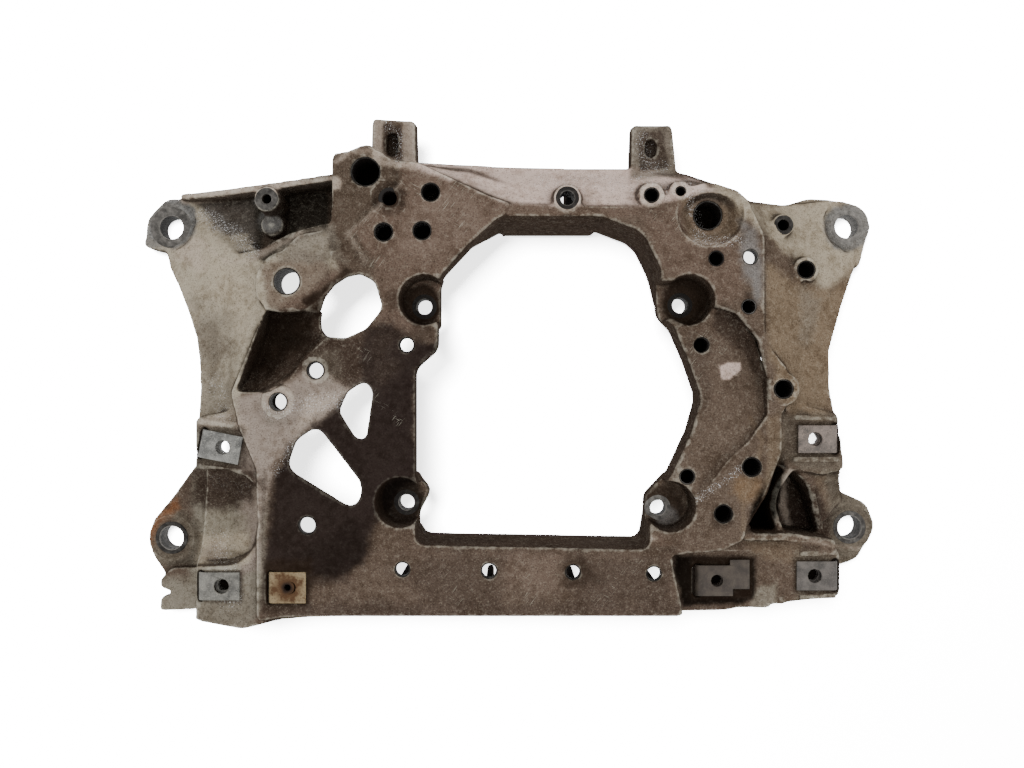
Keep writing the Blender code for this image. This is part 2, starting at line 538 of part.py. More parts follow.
def boss_masses():
    """Columns and bosses that carry the bolts, dowels and seats."""
    items = [boss("seat_%d" % k, x, y, RECESS_R + 3, SEAT_FACE - 14, PLATE_FACE - 1, 0)
             for k, (x, y) in enumerate(RECESS_CENTRES)]
    items += [boss("dowel_%d" % k, x, y, DOWEL_BORE_R + BOSS_WALL, 34, face - 1.5)
              for k, (x, y, face) in enumerate(DOWEL_HOLES)]
    items += [prism("hole_boss_%d" % k, circle(*at(x, y), r + BOSS_WALL, 12), 50, PLATE_FACE - 2, 1.0)
              for k, (x, y, r) in enumerate(PAD_HOLES + STRIP_BLIND)]
    items.append(prism("dowel_bowl_cup", oval(*DOWEL_BOWL_MASS), 58, PLATE_FACE - WALL_STEP,
                       foot=oval(*DOWEL_BOWL_MASS_FOOT)))
    items += [
        boss("inner_ear", *INNER_EAR, INNER_EAR_R, INNER_EAR_FACE - 22, INNER_EAR_FACE, 2),
        boss("mid_boss", *MID_BOSS, MID_BOSS_R, 30, PLATE_FACE + 1, 1),
        boss("channel_boss", *CHANNEL_BOSS, 9.5, 10, 60, 1),
        boss("channel_lug", *CHANNEL_LUG, 8.5, CHANNEL_FLOOR - 3, 44, 2),
        boss("channel_lug_nub", *CHANNEL_LUG, 3.2, 40, 46, 0.3),
        boss("channel_nub", -192, 92, 3.2, CHANNEL_FLOOR - 3, 40, 0.5),
        boss("wing_boss_upper", *WING_BOSS_UPPER, 8.6, 24, 48, 1.5),
        boss("wing_boss_lower", *WING_BOSS_LOWER, 9.6, 20, 52, 1.5),
        boss("plate_boss", -162, -21, 12.5, 60, PLATE_FACE + 2, 2),
        boss("band_boss", 41, 122, 10.0, 56, PLATE_FACE + 1.5, 2),
        boss("band_boss_right", 100, 124, 9.4, 56, PLATE_FACE + 1.5, 2),
    ]
    return items


def lug_masses():
    """Two slotted lugs that stand out beyond the upper band."""
    return [prism(name, rounded(outline), LUG_FACE - LUG_THICKNESS, LUG_FACE, 1.5)
            for name, outline in (("lug_left", LUG_LEFT), ("lug_right", LUG_RIGHT))]


def ribs():
    """Stiffening ribs inside the open back."""
    runs = {
        "rib_left_outer": [(-176, -60, 22, 68), (-176, -172, 16, 68)],
        "rib_bar_1": [(-75, -118, 26, 72), (-75, -169, 20, 72)],
        "rib_bar_2": [(-14, -114, 22, 72), (-14, -169, 20, 72)],
        "rib_bar_3": [(45, -115, 22, 72), (45, -169, 20, 72)],
        "rib_bar_4": [(102, -116, 22, 72), (102, -169, 20, 72)],
        "rib_pad": [(-108, 107, 40, 62), (-46, 107, 40, 62)],
        "rib_plate_1": [(-136, 1, 50, 73), (-126, -34, 50, 73), (-99, -72, 46, 73), (-75, -95, 42, 73)],
        "rib_plate_2": [(-136, 1, 50, 73), (-66, 2, 56, 73)],
        "rib_plate_3": [(-157, 64, 54, 72), (-126, 96, 40, 74), (-101, 141, 40, 76)],
        "rib_strip_1": [(125, 49, 42, 72), (176, 62, 30, 70)],
        "rib_strip_2": [(134, -12, 46, 72), (193, -12, 34, 70)],
        "rib_strip_3": [(109, -99, 42, 72), (172, -112, 24, 70)],
        "rib_band_1": [(0, 112, 10, 70), (0, 147, 14, 50)],
        "rib_band_2": [(44, 112, 10, 70), (44, 147, 14, 50)],
        "rib_band_3": [(90, 103, 10, 70), (90, 147, 14, 50)],
        "rib_wing_left": [(-224, -10, 30, 50), (-186, 0, 40, 66)],
        "rib_wing_right": [(238, 40, 20, 40), (182, 40, 40, 66)],
    }
    return [wall(name, path, RIB) for name, path in runs.items()]


def pocket_cuts():
    """Recesses, hollows and machined faces cut from the front."""
    above = PAD_FACE + PAST
    cuts = [hollow("cut_slope", SLOPE), hollow("cut_strip_channel", STRIP_CHANNEL),
            hollow("cut_scoop", SCOOP), hollow("cut_recess_ramp", RECESS_RAMP),
            hollow("cut_pad_shoulder", PAD_SHOULDER),
            prism("cut_inner_ear_face", rounded(INNER_EAR_LUG), INNER_EAR_FACE, above),
            prism("cut_wing_groove", rounded(WING_GROOVE), WING_GROOVE_FLOOR, above),
            prism("cut_dowel_bowl", oval(*DOWEL_BOWL), DOWEL_BOWL_FLOOR, above, foot=oval(*DOWEL_BOWL_FOOT))]
    for k, ((x, y), mouth) in enumerate(zip(RECESS_CENTRES, RECESS_MOUTHS)):
        cuts.append(prism("cut_recess_%d" % k, circle(*at(x, y), RECESS_R), SEAT_FACE, above, -1.0))
        cuts.append(prism("cut_mouth_%d" % k, [at(*corner) for corner in mouth], SEAT_FACE, above))
    cuts += [prism("cut_seat_%d" % k, circle(*at(x, y), SEAT_R), SEAT_FACE - 1.2, above)
             for k, (x, y) in enumerate(SEATS)]
    cuts += [prism("cut_ear_face_%d" % k, circle(*at(x, y), SPOT_FACE_R), EAR_FACE, above)
             for k, (x, y) in enumerate(EARS)]
    cuts += [prism("cut_lug_groove_%d" % k, rounded(outline), LUG_FACE - LUG_GROOVE_DEPTH, above)
             for k, outline in enumerate(LUG_GROOVES)]
    cuts += [prism("cut_slot_%d" % k, rounded(outline), LUG_FACE - LUG_THICKNESS + 2, above)
             for k, outline in enumerate(LUG_SLOTS)]
    return cuts


def through_cuts():
    """Central opening, oval hole and windows."""
    holes = {"cut_oval_hole": OVAL_HOLE, "cut_small_window": SMALL_WINDOW, "cut_big_window": BIG_WINDOW}
    return [opening_cutter()] + [prism(name, rounded(outline), -PAST, PAD_FACE + PAST)
                                 for name, outline in holes.items()]


def bore_cuts():
    """Bores of the ears, seats, bosses and plates."""
    low, high = -PAST, PAD_FACE + PAST
    spots = [(x, y, EAR_BORE_R, low) for x, y in EARS]
    spots += [(x, y, SEAT_BORE_R, low) for x, y in SEATS]
    spots += [(x, y, DOWEL_BORE_R, 42) for x, y, _ in DOWEL_HOLES]
    spots += [(x, y, r, 58) for x, y, r in PAD_HOLES[:2]] + [(x, y, r, low) for x, y, r in PAD_HOLES[2:]]
    spots += [(x, y, r, 56) for x, y, r in STRIP_BLIND]
    spots += [(x, y, r, low) for x, y, r in PLATE_THROUGH]
    spots += [(*INNER_EAR, INNER_EAR_BORE_R, low), (*MID_BOSS, 6.5, 40), (*CHANNEL_BOSS, 3.8, 36),
              (*WING_BOSS_UPPER, 4.5, 28), (*WING_BOSS_LOWER, 6.4, 26)]
    return [prism("bore_%d" % k, circle(*at(x, y), r), bottom, high)
            for k, (x, y, r, bottom) in enumerate(spots)]


def casting():
    """The bracket itself, one casting."""
    part = prism("bracket_casting", rounded(PLATE), PLATE_FACE - SKIN, PLATE_FACE, draft=1.0)
    combine(part, "masses", frame_masses() + wing_skins() + channel_masses() + pocket_blocks() + skirts()
            + clip_lips() + ear_masses() + boss_masses() + lug_masses() + ribs(), "UNION")
    combine(part, "pockets", pocket_cuts() + through_cuts() + bore_cuts() + clip_notches(), "DIFFERENCE")
    slivers = part.modifiers.new("slivers", "DECIMATE")
    slivers.ratio = KEPT_FACES
    slivers.use_collapse_triangulate = True
    return part


# Each clip nut: middle of the tab edge it folds over, direction of its leaves in degrees, face it sits on,
# length and width of its upper leaf, and the radius of the hole in that leaf
CLIPS = {
    "clip_nut_left_upper": (-216, -51, -11, LEFT_FACE, 26, 20, 5.2),
    "clip_nut_left_lower": (-217, -152, 0, LEFT_FACE, 26, 20, 5.4),
    "clip_nut_left_inner": (-166, -152, 0, BAR_FACE, 23, 22, 4.4),
    "clip_nut_right_upper": (232, -48, 180, RIGHT_FACE, 25, 20, 5.0),
    "clip_nut_right_lower": (232, -146, 180, RIGHT_FACE, 26, 21, 5.0),
    "clip_nut_right_inner": (138, -150, 0, RIGHT_RECESS_FLOOR, 23, 22, 4.4),
}


def turned(x, y, degrees):
    """Point turned about the origin."""
    c, s = math.cos(math.radians(degrees)), math.sin(math.radians(degrees))
    return x * c - y * s, x * s + y * c


def clip_notches():
    """Thinned tabs that the clips grip, notches for their folds and holes for their screws."""
    cuts = []
    fold = TAB / 2 + CLIP_GAP + CLIP_SHEET + 1
    for name, (place_x, place_y, angle, face, length, width, _) in CLIPS.items():
        x, y = at(place_x, place_y)
        half = width / 2 + 1

        def box(x0, x1, margin=0.0):
            ends = ((x0, -half - margin), (x1, -half - margin), (x1, half + margin), (x0, half + margin))
            return [(x + a, y + b) for a, b in (turned(*end, angle) for end in ends)]

        cuts.append(prism(name + "_fold_notch", box(-fold, 0, CLIP_GAP), -PAST, PAD_FACE + PAST))
        cuts.append(prism(name + "_seat_notch", box(-1, length + 1), face, PAD_FACE + PAST))
        cuts.append(prism(name + "_under_notch", box(-1, length, 1), -PAST, face - TAB))
        hx, hy = turned(length * CLIP_HOLE_PLACE, 0, angle)
        cuts.append(prism(name + "_hole", circle(x + hx, y + hy, BARREL_R), -PAST, PAD_FACE + PAST))
    return cuts


def clip_nut(name, x, y, angle, face, length, width, hole_r):
    """Sheet strip folded over the tab, with a threaded barrel drawn from its lower leaf."""
    x, y = at(x, y)
    gap = TAB + 2 * CLIP_GAP
    middle = face + CLIP_GAP - gap / 2
    inner, outer = gap / 2, gap / 2 + CLIP_SHEET
    arc = [math.radians(90 + 180 * k / 8) for k in range(9)]
    profile = [(length, outer), *[(outer * math.cos(a), outer * math.sin(a)) for a in arc],
               (length - 3, -outer), (length - 3, -inner),
               *[(inner * math.cos(a), inner * math.sin(a)) for a in reversed(arc)], (length, inner)]
    count = len(profile)
    points = []
    for side in (-width / 2, width / 2):
        for along, up in profile:
            dx, dy = turned(along, side, angle)
            points.append((x + dx, y + dy, middle + up))
    sides = [(k, (k + 1) % count, count + (k + 1) % count, count + k) for k in range(count)]
    strip = body(name, points, sides + [tuple(range(count))[::-1], tuple(range(count, 2 * count))])
    hx, hy = turned(length * CLIP_HOLE_PLACE, 0, angle)
    added = [prism(name + "_barrel", circle(x + hx, y + hy, BARREL_R - 0.8), middle - outer - BARREL_DEPTH,
                   middle - inner - 0.4)]
    if name.endswith("right_inner"):
        added.append(prism(name + "_tongue", [(x + length - 2, y - 6), (x + length + 12, y - 6),
                                              (x + length + 12, y + 15), (x + length - 2, y + 15)],
                           middle + inner + 0.1, middle + inner + CLIP_SHEET - 0.3))
    hole = prism(name + "_top_hole", circle(x + hx, y + hy, hole_r), middle, middle + outer + PAST)
    thread = prism(name + "_thread", circle(x + hx, y + hy, BARREL_BORE_R),
                   middle - outer - BARREL_DEPTH - PAST, middle + 0.5)
    combine(strip, name + "_add", added, "UNION")
    combine(strip, name + "_cut", [hole, thread], "DIFFERENCE")
    return strip


def material(name, colour, metallic, roughness):
    """Principled material with one colour."""
    made = bpy.data.materials.new(name)
    made.use_nodes = True
    shader = made.node_tree.nodes["Principled BSDF"]
    shader.inputs["Base Color"].default_value = (*colour, 1.0)
    shader.inputs["Metallic"].default_value = metallic
    shader.inputs["Roughness"].default_value = roughness
    return made


def main():
    """Clear the scene and build the bracket and its clip nuts."""
    for item in list(bpy.data.objects):
        bpy.data.objects.remove(item, do_unlink=True)
    cast = material("cast_aluminium", (0.27, 0.23, 0.19), 0.35, 0.62)
    zinc = material("zinc_steel", (0.33, 0.34, 0.36), 0.7, 0.45)
    rust = material("rusted_steel", (0.40, 0.22, 0.09), 0.2, 0.75)
    casting().data.materials.append(cast)
    for name, place in CLIPS.items():
        clip_nut(name, *place).data.materials.append(rust if name.endswith("left_inner") else zinc)


main()
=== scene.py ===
"""Looks of the gearbox mount bracket: a weathered, sand-textured aluminium casting with its clip nuts."""
import math

import bmesh
import bpy
import numpy as np
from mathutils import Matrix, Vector
from mathutils.bvhtree import BVHTree


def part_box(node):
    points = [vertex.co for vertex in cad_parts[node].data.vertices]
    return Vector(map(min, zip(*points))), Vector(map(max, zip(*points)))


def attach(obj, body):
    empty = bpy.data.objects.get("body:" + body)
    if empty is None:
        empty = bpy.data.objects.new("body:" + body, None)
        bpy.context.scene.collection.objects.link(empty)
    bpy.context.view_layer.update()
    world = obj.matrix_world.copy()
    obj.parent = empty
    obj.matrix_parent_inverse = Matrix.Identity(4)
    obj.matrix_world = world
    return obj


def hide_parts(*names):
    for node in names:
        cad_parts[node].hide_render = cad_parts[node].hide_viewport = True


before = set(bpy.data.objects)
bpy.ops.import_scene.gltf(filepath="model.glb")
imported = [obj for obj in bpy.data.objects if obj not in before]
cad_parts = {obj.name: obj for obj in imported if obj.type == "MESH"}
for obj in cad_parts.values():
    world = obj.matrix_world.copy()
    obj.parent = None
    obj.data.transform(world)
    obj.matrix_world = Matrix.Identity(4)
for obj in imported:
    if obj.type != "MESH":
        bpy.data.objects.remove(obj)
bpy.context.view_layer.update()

MM = 0.001

# The photograph was taken straight from above; focal length in pixels of its 1024 wide frame
FRAME_WIDTH = 1024
FRAME_MIDDLE = (512, 384)
FOCAL_PIXELS = 971
SENSOR_WIDTH = 36.0
CAMERA_PLACE = (2.4, -10.6, 760.0)
# The layout's origin in the frame's coordinates, in millimetres
LAYOUT = (0.3, -2.1)

# The casting's copy: grid of its remesh in millimetres, rounds of smoothing, triangles kept, and its top
CAST_GRID = 1.5
CAST_ROUNDS = 7
CAST_FACES = 192000
CAST_TOP = 80.0

# How bright a white face that looks up is under the lamps, and what a linear brightness shows as, 0 to 255
WHITE_LEVEL = 1.25
SHOWN = [0, 9, 18, 26, 32, 42, 50, 59, 71, 87, 100, 118, 129, 140, 150, 160, 169, 177, 189, 197, 209, 217,
         254]
LEVEL = [0, 0.005, 0.01, 0.015, 0.02, 0.03, 0.04, 0.05, 0.07, 0.1, 0.13, 0.18, 0.22, 0.27, 0.33, 0.4, 0.5,
         0.6, 0.8, 1.0, 1.5, 2.0, 16.0]
DARKEST, BRIGHTEST = 0.001, 0.95

# Sky, the floor's half width, colour and glow, and the lamps: place, size in metres and power in watts
SKY_LEVEL = 1.15
FLOOR_HALF = 3.0
FLOOR_DROP = 0.0002
FLOOR_WHITE = (0.9, 0.9, 0.9, 1.0)
FLOOR_GLOW = 2.6
LAMPS = {"floor_key": ((-0.42, 0.46, 2.4), 0.75, 1250.0), "key": ((-1.25, 1.3, 1.35), 0.7, 205.0),
         "fill": ((1.2, -1.0, 1.8), 2.0, 16.0)}

# Tones of the zinc on each clip nut; the one that is missing here is rusted
CLIP_TONES = {"left_upper": (158, 157, 153), "left_lower": (150, 148, 142), "right_upper": (150, 140, 132),
              "right_lower": (122, 116, 110), "right_inner": (94, 84, 74)}
CLIP_EDGE = 0.6
# How fast the rust fades with distance from the middle of its clip, per metre
RUST_SCALE = (80.0, 84.0)

# Tones as they show, 0 to 255: the finishes' own colours, and the dark tones for slopes, walls and hollows,
# which paint shade, the darkest partly grime as well
TONES = {
    "greige": (174, 168, 156), "greige_dark": (142, 134, 122), "stone": (154, 148, 136),
    "warm_stone": (160, 153, 139), "pink_grey": (194, 184, 178), "pale": (182, 174, 165),
    "land": (162, 152, 143), "pad_brown": (120, 100, 86), "pad_pink": (134, 116, 102),
    "brown": (110, 93, 79), "shoulder": (98, 82, 69), "deep_brown": (86, 71, 61),
    "slope_shade": (73, 59, 48), "umber": (46, 34, 26), "oil_black": (50, 40, 36), "soot_and_shade": (16, 11, 8),
    "olive": (140, 123, 101), "olive_grey": (126, 117, 102), "ear_grey": (142, 141, 139),
    "blue_grey": (138, 133, 130), "channel_dark": (58, 50, 43), "salt_grey": (108, 100, 92),
    "rust": (148, 98, 58), "ochre": (146, 120, 84), "wing_light": (176, 169, 156), "wall_shade": (52, 39, 31),
}


def disc(u, v, radius, sides=14):
    """Outline of a circle in the front view."""
    return [(u + radius * math.cos(2 * math.pi * k / sides), v + radius * math.sin(2 * math.pi * k / sides))
            for k in range(sides)]


# Patches of tone on the casting, laid one over another, among them painted light and painted shade where the
# casting's shape is lit or shaded: finish, strength, softness of the edge, and the outline in the front view,
# in units of 0.70 mm at the front face, with u to the right and v down
PATCHES = [
    ("greige", 1.0, 8, [(130, 185), (212, 176), (225, 225), (250, 262), (285, 245), (340, 222), (348, 262),
                        (272, 312), (240, 398), (238, 430), (180, 430), (185, 330), (150, 262)]),
    # On the left wing, the light patch down from the ear and the darker patch beside it paint the light and
    # shade of its dished face; the brown disc is partly painted shade beside the logo and partly dirt
    ("wing_light", 0.7, 24, [(196, 240), (240, 262), (262, 300), (240, 340), (215, 300)]),
    ("greige_dark", 0.55, 24, [(192, 300), (222, 310), (232, 350), (230, 425), (192, 425)]),
    ("deep_brown", 0.4, 24, disc(214, 340, 21)),
    ("pale", 0.55, 12, [(180, 232), (200, 238), (205, 268), (175, 262)]),
    ("stone", 1.0, 8, [(192, 420), (246, 418), (268, 460), (264, 600), (250, 628), (190, 615)]),
    ("land", 1.0, 10, [(238, 398), (262, 392), (288, 386), (318, 362), (345, 385), (372, 376), (350, 402),
                       (320, 424), (290, 446), (274, 470), (262, 520), (262, 570), (240, 575), (238, 450)]),
    ("pale", 0.5, 8, disc(279, 397, 15)),
    ("greige_dark", 0.5, 10, [(262, 405), (284, 415), (292, 424), (268, 424)]),
    ("pale", 0.6, 16, [(300, 402), (345, 392), (330, 412), (296, 432)]),
    ("warm_stone", 0.7, 12, [(200, 512), (248, 512), (250, 556), (200, 560)]),
    ("wing_light", 1.0, 10, [(198, 534), (250, 533), (248, 562), (198, 566)]),
    ("pale", 0.4, 10, disc(214, 551, 12)),
    ("pale", 0.5, 10, [(195, 418), (240, 414), (246, 428), (198, 432)]),
    ("slope_shade", 0.95, 14, [(190, 466), (222, 463), (254, 472), (258, 500), (236, 508), (190, 506)]),
    ("stone", 0.9, 10, [(156, 578), (204, 576), (205, 618), (156, 618)]),
    ("olive_grey", 0.7, 12, [(196, 602), (250, 598), (256, 628), (200, 622)]),
    # The dark channel below the top flange is partly painted shade under the flange's wall
    ("channel_dark", 1.0, 7, [(182, 196), (262, 191), (332, 180), (338, 232), (300, 240), (264, 262),
                              (248, 252), (205, 212)]),
    ("salt_grey", 0.85, 12, [(196, 204), (252, 202), (258, 232), (250, 258), (236, 248), (212, 222)]),
    ("greige", 0.8, 8, [(226, 236), (246, 236), (256, 252), (248, 266), (230, 256)]),
    ("brown", 0.6, 8, [(262, 234), (284, 230), (282, 244), (264, 250)]),
    ("ear_grey", 0.9, 4, disc(266, 197, 13)),
    ("ear_grey", 0.6, 6, disc(270, 222, 13)),
    ("ear_grey", 1.0, 5, disc(171, 221, 27)),
    ("ear_grey", 0.8, 8, [(140, 225), (160, 235), (165, 250), (142, 250)]),
    ("olive_grey", 0.8, 8, disc(172, 538, 30)),
    ("rust", 0.75, 9, [(144, 534), (158, 512), (176, 500), (178, 508), (160, 522), (151, 548)]),
    ("deep_brown", 0.6, 8, disc(172, 537, 17)),
    ("shoulder", 1.0, 6, [(334, 156), (350, 149), (376, 154), (404, 160), (404, 182), (378, 210),
                          (350, 234),
                          (372, 262), (400, 290), (372, 320), (345, 262), (328, 240), (330, 190)]),
    ("pad_brown", 1.0, 5, [(400, 160), (418, 162), (486, 195), (512, 203), (498, 224), (450, 262),
                           (440, 290),
                           (415, 285), (366, 262), (348, 234), (376, 209), (400, 184)]),
    ("pad_pink", 0.85, 16, [(425, 180), (500, 206), (478, 236), (440, 258), (392, 252), (410, 215)]),
    ("umber", 0.85, 10, [(378, 186), (396, 183), (404, 192), (403, 206), (386, 212), (374, 204)]),
    ("pad_brown", 0.8, 14, [(372, 262), (440, 262), (440, 300), (420, 330), (385, 332), (372, 300)]),
    ("shoulder", 1.0, 8, [(328, 238), (352, 232), (376, 262), (370, 278), (346, 276), (330, 262)]),
    ("pad_brown", 0.8, 10, [(262, 268), (300, 246), (330, 262), (348, 280), (330, 302), (300, 320),
                            (268, 306)]),
    ("greige_dark", 0.75, 8, [(275, 246), (300, 232), (332, 226), (345, 262), (300, 262), (278, 262)]),
    # The dark slopes and the pocket right of the left arm's ridge paint the shade of walls that face away
    # from the light
    ("slope_shade", 1.0, 9, [(268, 312), (312, 306), (322, 318), (345, 338), (366, 334), (368, 372),
                             (345, 386), (320, 364), (300, 370), (284, 378), (264, 383), (240, 386),
                             (250, 352)]),
    ("umber", 0.8, 20, [(266, 313), (318, 308), (322, 330), (300, 352), (282, 366), (262, 373), (244, 377),
                         (252, 348)]),
    ("soot_and_shade", 0.3, 22, [(270, 318), (312, 316), (306, 338), (274, 356), (256, 362)]),
    ("slope_shade", 0.9, 12, [(316, 304), (334, 312), (350, 334), (370, 332), (370, 376), (345, 388),
                              (318, 362), (312, 330)]),
    ("olive_grey", 0.35, 12, [(312, 352), (336, 350), (345, 380), (322, 384)]),
    ("oil_black", 1.0, 13, [(362, 330), (394, 320), (404, 340), (440, 342), (440, 352), (418, 374),
                            (416, 480),
                           (400, 492), (378, 524), (368, 552), (346, 582), (300, 586), (264, 588),
                           (263, 560),
                           (270, 505), (275, 468), (290, 447), (308, 430), (326, 414), (345, 396),
                           (364, 378)]),
    ("deep_brown", 0.35, 22, [(368, 334), (396, 326), (400, 372), (372, 390)]),
    ("soot_and_shade", 0.35, 26, [(300, 560), (350, 520), (372, 540), (340, 585)]),
    ("brown", 0.5, 14, [(310, 582), (352, 582), (362, 612), (318, 618)]),
    ("umber", 0.75, 8, [(262, 560), (312, 560), (312, 612), (262, 612)]),
    ("deep_brown", 0.7, 10, [(262, 600), (330, 604), (420, 608), (420, 630), (262, 630)]),
    ("deep_brown", 0.6, 12, [(330, 600), (512, 602), (700, 600), (735, 612), (735, 640), (330, 640)]),
    ("pad_brown", 0.6, 8, [(430, 532), (560, 534), (660, 532), (672, 545), (560, 548), (426, 546)]),
    ("pad_pink", 0.45, 18, [(500, 548), (560, 552), (560, 590), (505, 590)]),
    ("deep_brown", 0.7, 20, [(420, 556), (505, 554), (500, 606), (420, 606)]),
    ("deep_brown", 0.7, 20, [(580, 556), (680, 556), (676, 606), (574, 606)]),
    ("deep_brown", 0.35, 16, disc(402, 570, 16)), ("deep_brown", 0.4, 10, disc(488, 570, 12)),
    ("umber", 0.6, 12, [(558, 566), (572, 556), (590, 566), (604, 582), (580, 588), (560, 584)]),
    ("deep_brown", 0.5, 10, disc(653, 573, 12)),
    ("pink_grey", 1.0, 6, [(398, 164), (420, 160), (480, 163), (640, 166), (700, 180), (712, 190),
                           (676, 200),
                           (640, 206), (560, 206), (506, 204), (486, 194), (440, 176)]),
    ("pad_brown", 0.85, 6, [(486, 200), (512, 202), (560, 208), (600, 206), (640, 207), (640, 216),
                            (486, 216)]),
    ("pale", 0.75, 6, [(372, 118), (384, 118), (384, 160), (400, 166), (402, 118), (416, 118), (418, 170),
                       (372, 162)]),
    ("slope_shade", 0.95, 5, [(383, 124), (402, 124), (404, 162), (382, 158)]),
    ("umber", 0.3, 5, disc(393, 142, 9)), ("umber", 1.0, 6, disc(651, 148, 11)),
    ("greige_dark", 0.8, 5, [(630, 124), (670, 124), (678, 178), (630, 178)]),
    ("slope_shade", 0.8, 6, [(640, 130), (664, 130), (668, 168), (640, 170)]),
    ("pad_brown", 0.9, 12, [(640, 210), (700, 196), (742, 250), (748, 300), (700, 300), (655, 262)]),
    ("pale", 0.55, 10, disc(651, 192, 13)), ("pale", 0.45, 8, disc(680, 190, 9)),
    ("pale", 0.4, 8, disc(567, 198, 14)),
    ("olive", 0.6, 8, [(680, 196), (745, 210), (738, 236), (712, 246), (686, 238)]),
    ("pale", 0.5, 10, [(690, 192), (704, 186), (726, 190), (722, 198), (698, 200)]),
    ("blue_grey", 0.95, 14, [(742, 222), (756, 228), (764, 262), (762, 300), (752, 302), (744, 268)]),
    ("umber", 0.65, 9, [(742, 290), (752, 288), (756, 304), (742, 306)]),
    ("wing_light", 0.9, 12, [(716, 186), (742, 194), (770, 205), (830, 196), (884, 212), (874, 262),
                             (826, 292),
                             (786, 252), (762, 232), (744, 214)]),
    ("olive", 1.0, 14, [(766, 262), (800, 286), (826, 290), (866, 262), (845, 320), (832, 400), (822, 422),
                        (790, 420), (768, 360)]),
    ("greige_dark", 0.5, 12, [(800, 290), (822, 300), (810, 350), (800, 340)]),
    # The crescent's dark wall is painted shade, as it faces away from the light
    ("slope_shade", 0.9, 9, [(712, 310), (724, 306), (744, 318), (762, 344), (772, 382), (765, 386),
                             (752, 366),
                        (736, 346), (716, 332)]),
    ("deep_brown", 0.5, 10, [(690, 330), (704, 352), (712, 390), (704, 410), (692, 410), (680, 360)]),
    ("deep_brown", 0.5, 10, [(712, 470), (676, 520), (690, 500), (720, 460)]),
    ("ochre", 0.5, 12, [(734, 478), (758, 474), (764, 492), (744, 504), (732, 492)]),
    ("umber", 0.7, 10, disc(725, 515, 12)), ("umber", 0.45, 10, disc(752, 468, 12)),
    ("deep_brown", 0.6, 9, disc(703, 344, 10)), ("deep_brown", 0.5, 9, disc(716, 258, 11)),
    ("soot_and_shade", 1.0, 7, [(776, 460), (784, 454), (790, 480), (776, 520), (776, 535), (748, 532), (750, 512)]),
    ("slope_shade", 0.95, 8, [(788, 476), (798, 470), (830, 508), (832, 536), (790, 532), (782, 500)]),
    ("olive", 0.6, 7, [(768, 420), (780, 412), (784, 448), (776, 470), (764, 500), (768, 450)]),
    ("olive_grey", 0.6, 8, [(780, 412), (842, 414), (846, 470), (826, 480), (798, 466), (782, 460)]),
    ("deep_brown", 0.5, 6, [(787, 412), (812, 412), (812, 424), (794, 428), (794, 452), (786, 452)]),
    ("olive", 0.55, 9, [(812, 472), (838, 476), (848, 512), (828, 508)]),
    ("olive_grey", 0.9, 8, [(826, 470), (850, 474), (880, 520), (872, 562), (846, 572), (832, 540)]),
    ("ear_grey", 0.9, 5, disc(848, 228, 24)),
    ("soot_and_shade", 0.95, 5, [(676, 556), (756, 556), (756, 598), (742, 604), (684, 606), (672, 570)]),
    ("stone", 0.7, 6, [(758, 588), (776, 584), (776, 604), (750, 607)]),
    ("olive", 0.5, 10, [(744, 540), (800, 540), (800, 562), (768, 560), (750, 552)]),
    ("olive_grey", 0.6, 8, [(796, 552), (842, 552), (842, 600), (796, 600)]),
    # The dark discs round the four seats at the opening's corners are partly painted shade in their
    # counterbores and partly dirt
    ("umber", 0.9, 6, disc(421, 305, 21)), ("umber", 0.9, 6, disc(685, 302, 24)),
    ("soot_and_shade", 0.75, 6, disc(402, 500, 23)), ("umber", 0.7, 8, disc(662, 506, 21)),
    ("blue_grey", 0.9, 8, disc(667, 520, 11)), ("umber", 0.5, 8, disc(424, 331, 12)),
    ("umber", 0.4, 10, disc(395, 300, 10)),
    ("pink_grey", 0.9, 2, [(719, 366), (728, 362), (740, 363), (741, 369), (728, 380), (722, 379)]),
    ("umber", 0.85, 5, [(300, 300), (320, 290), (346, 268), (352, 272), (330, 292), (322, 320),
                        (330, 336)]),
]

# Strokes of tone: finish, strength, half width, softness, and the line in the front view; the pale strokes
# along rims are partly worn metal and partly painted highlight where the edges catch the light
STROKES = [
    ("pale", 0.9, 5.8, 4, [(186, 199), (252, 191), (336, 183)]),
    ("pale", 0.6, 3.0, 3, [(790, 472), (784, 486), (783, 506), (790, 530)]),
    ("pale", 0.5, 2.5, 4, [(336, 162), (350, 152), (372, 150), (386, 158), (398, 166)]),
    ("pale", 0.35, 2.5, 4, [(200, 242), (226, 262), (246, 262), (300, 234)]),
    ("pale", 0.30, 2.0, 4, [(416, 163), (486, 194), (511, 202)]),
    ("pale", 0.25, 1.8, 4, [(400, 184), (376, 209), (348, 233), (366, 262)]),
    ("pale", 0.4, 2.0, 4, [(688, 238), (700, 244), (722, 244), (738, 236)]),
    ("olive", 0.45, 2.5, 4, [(750, 418), (762, 440), (756, 470), (742, 500), (744, 530)]),
    ("pale", 0.35, 1.6, 3, [(784, 470), (782, 500), (790, 532), (830, 546), (858, 548)]),
    ("umber", 0.25, 2.5, 4, [(430, 549), (560, 551), (672, 549)]),
    ("pale", 0.45, 3.0, 5, [(426, 538), (560, 542), (654, 538)]),
    ("umber", 0.5, 2.0, 4, [(265, 470), (262, 520), (262, 560)]),
    ("pale", 0.35, 2.5, 5, [(256, 490), (256, 540), (250, 556)]),
]

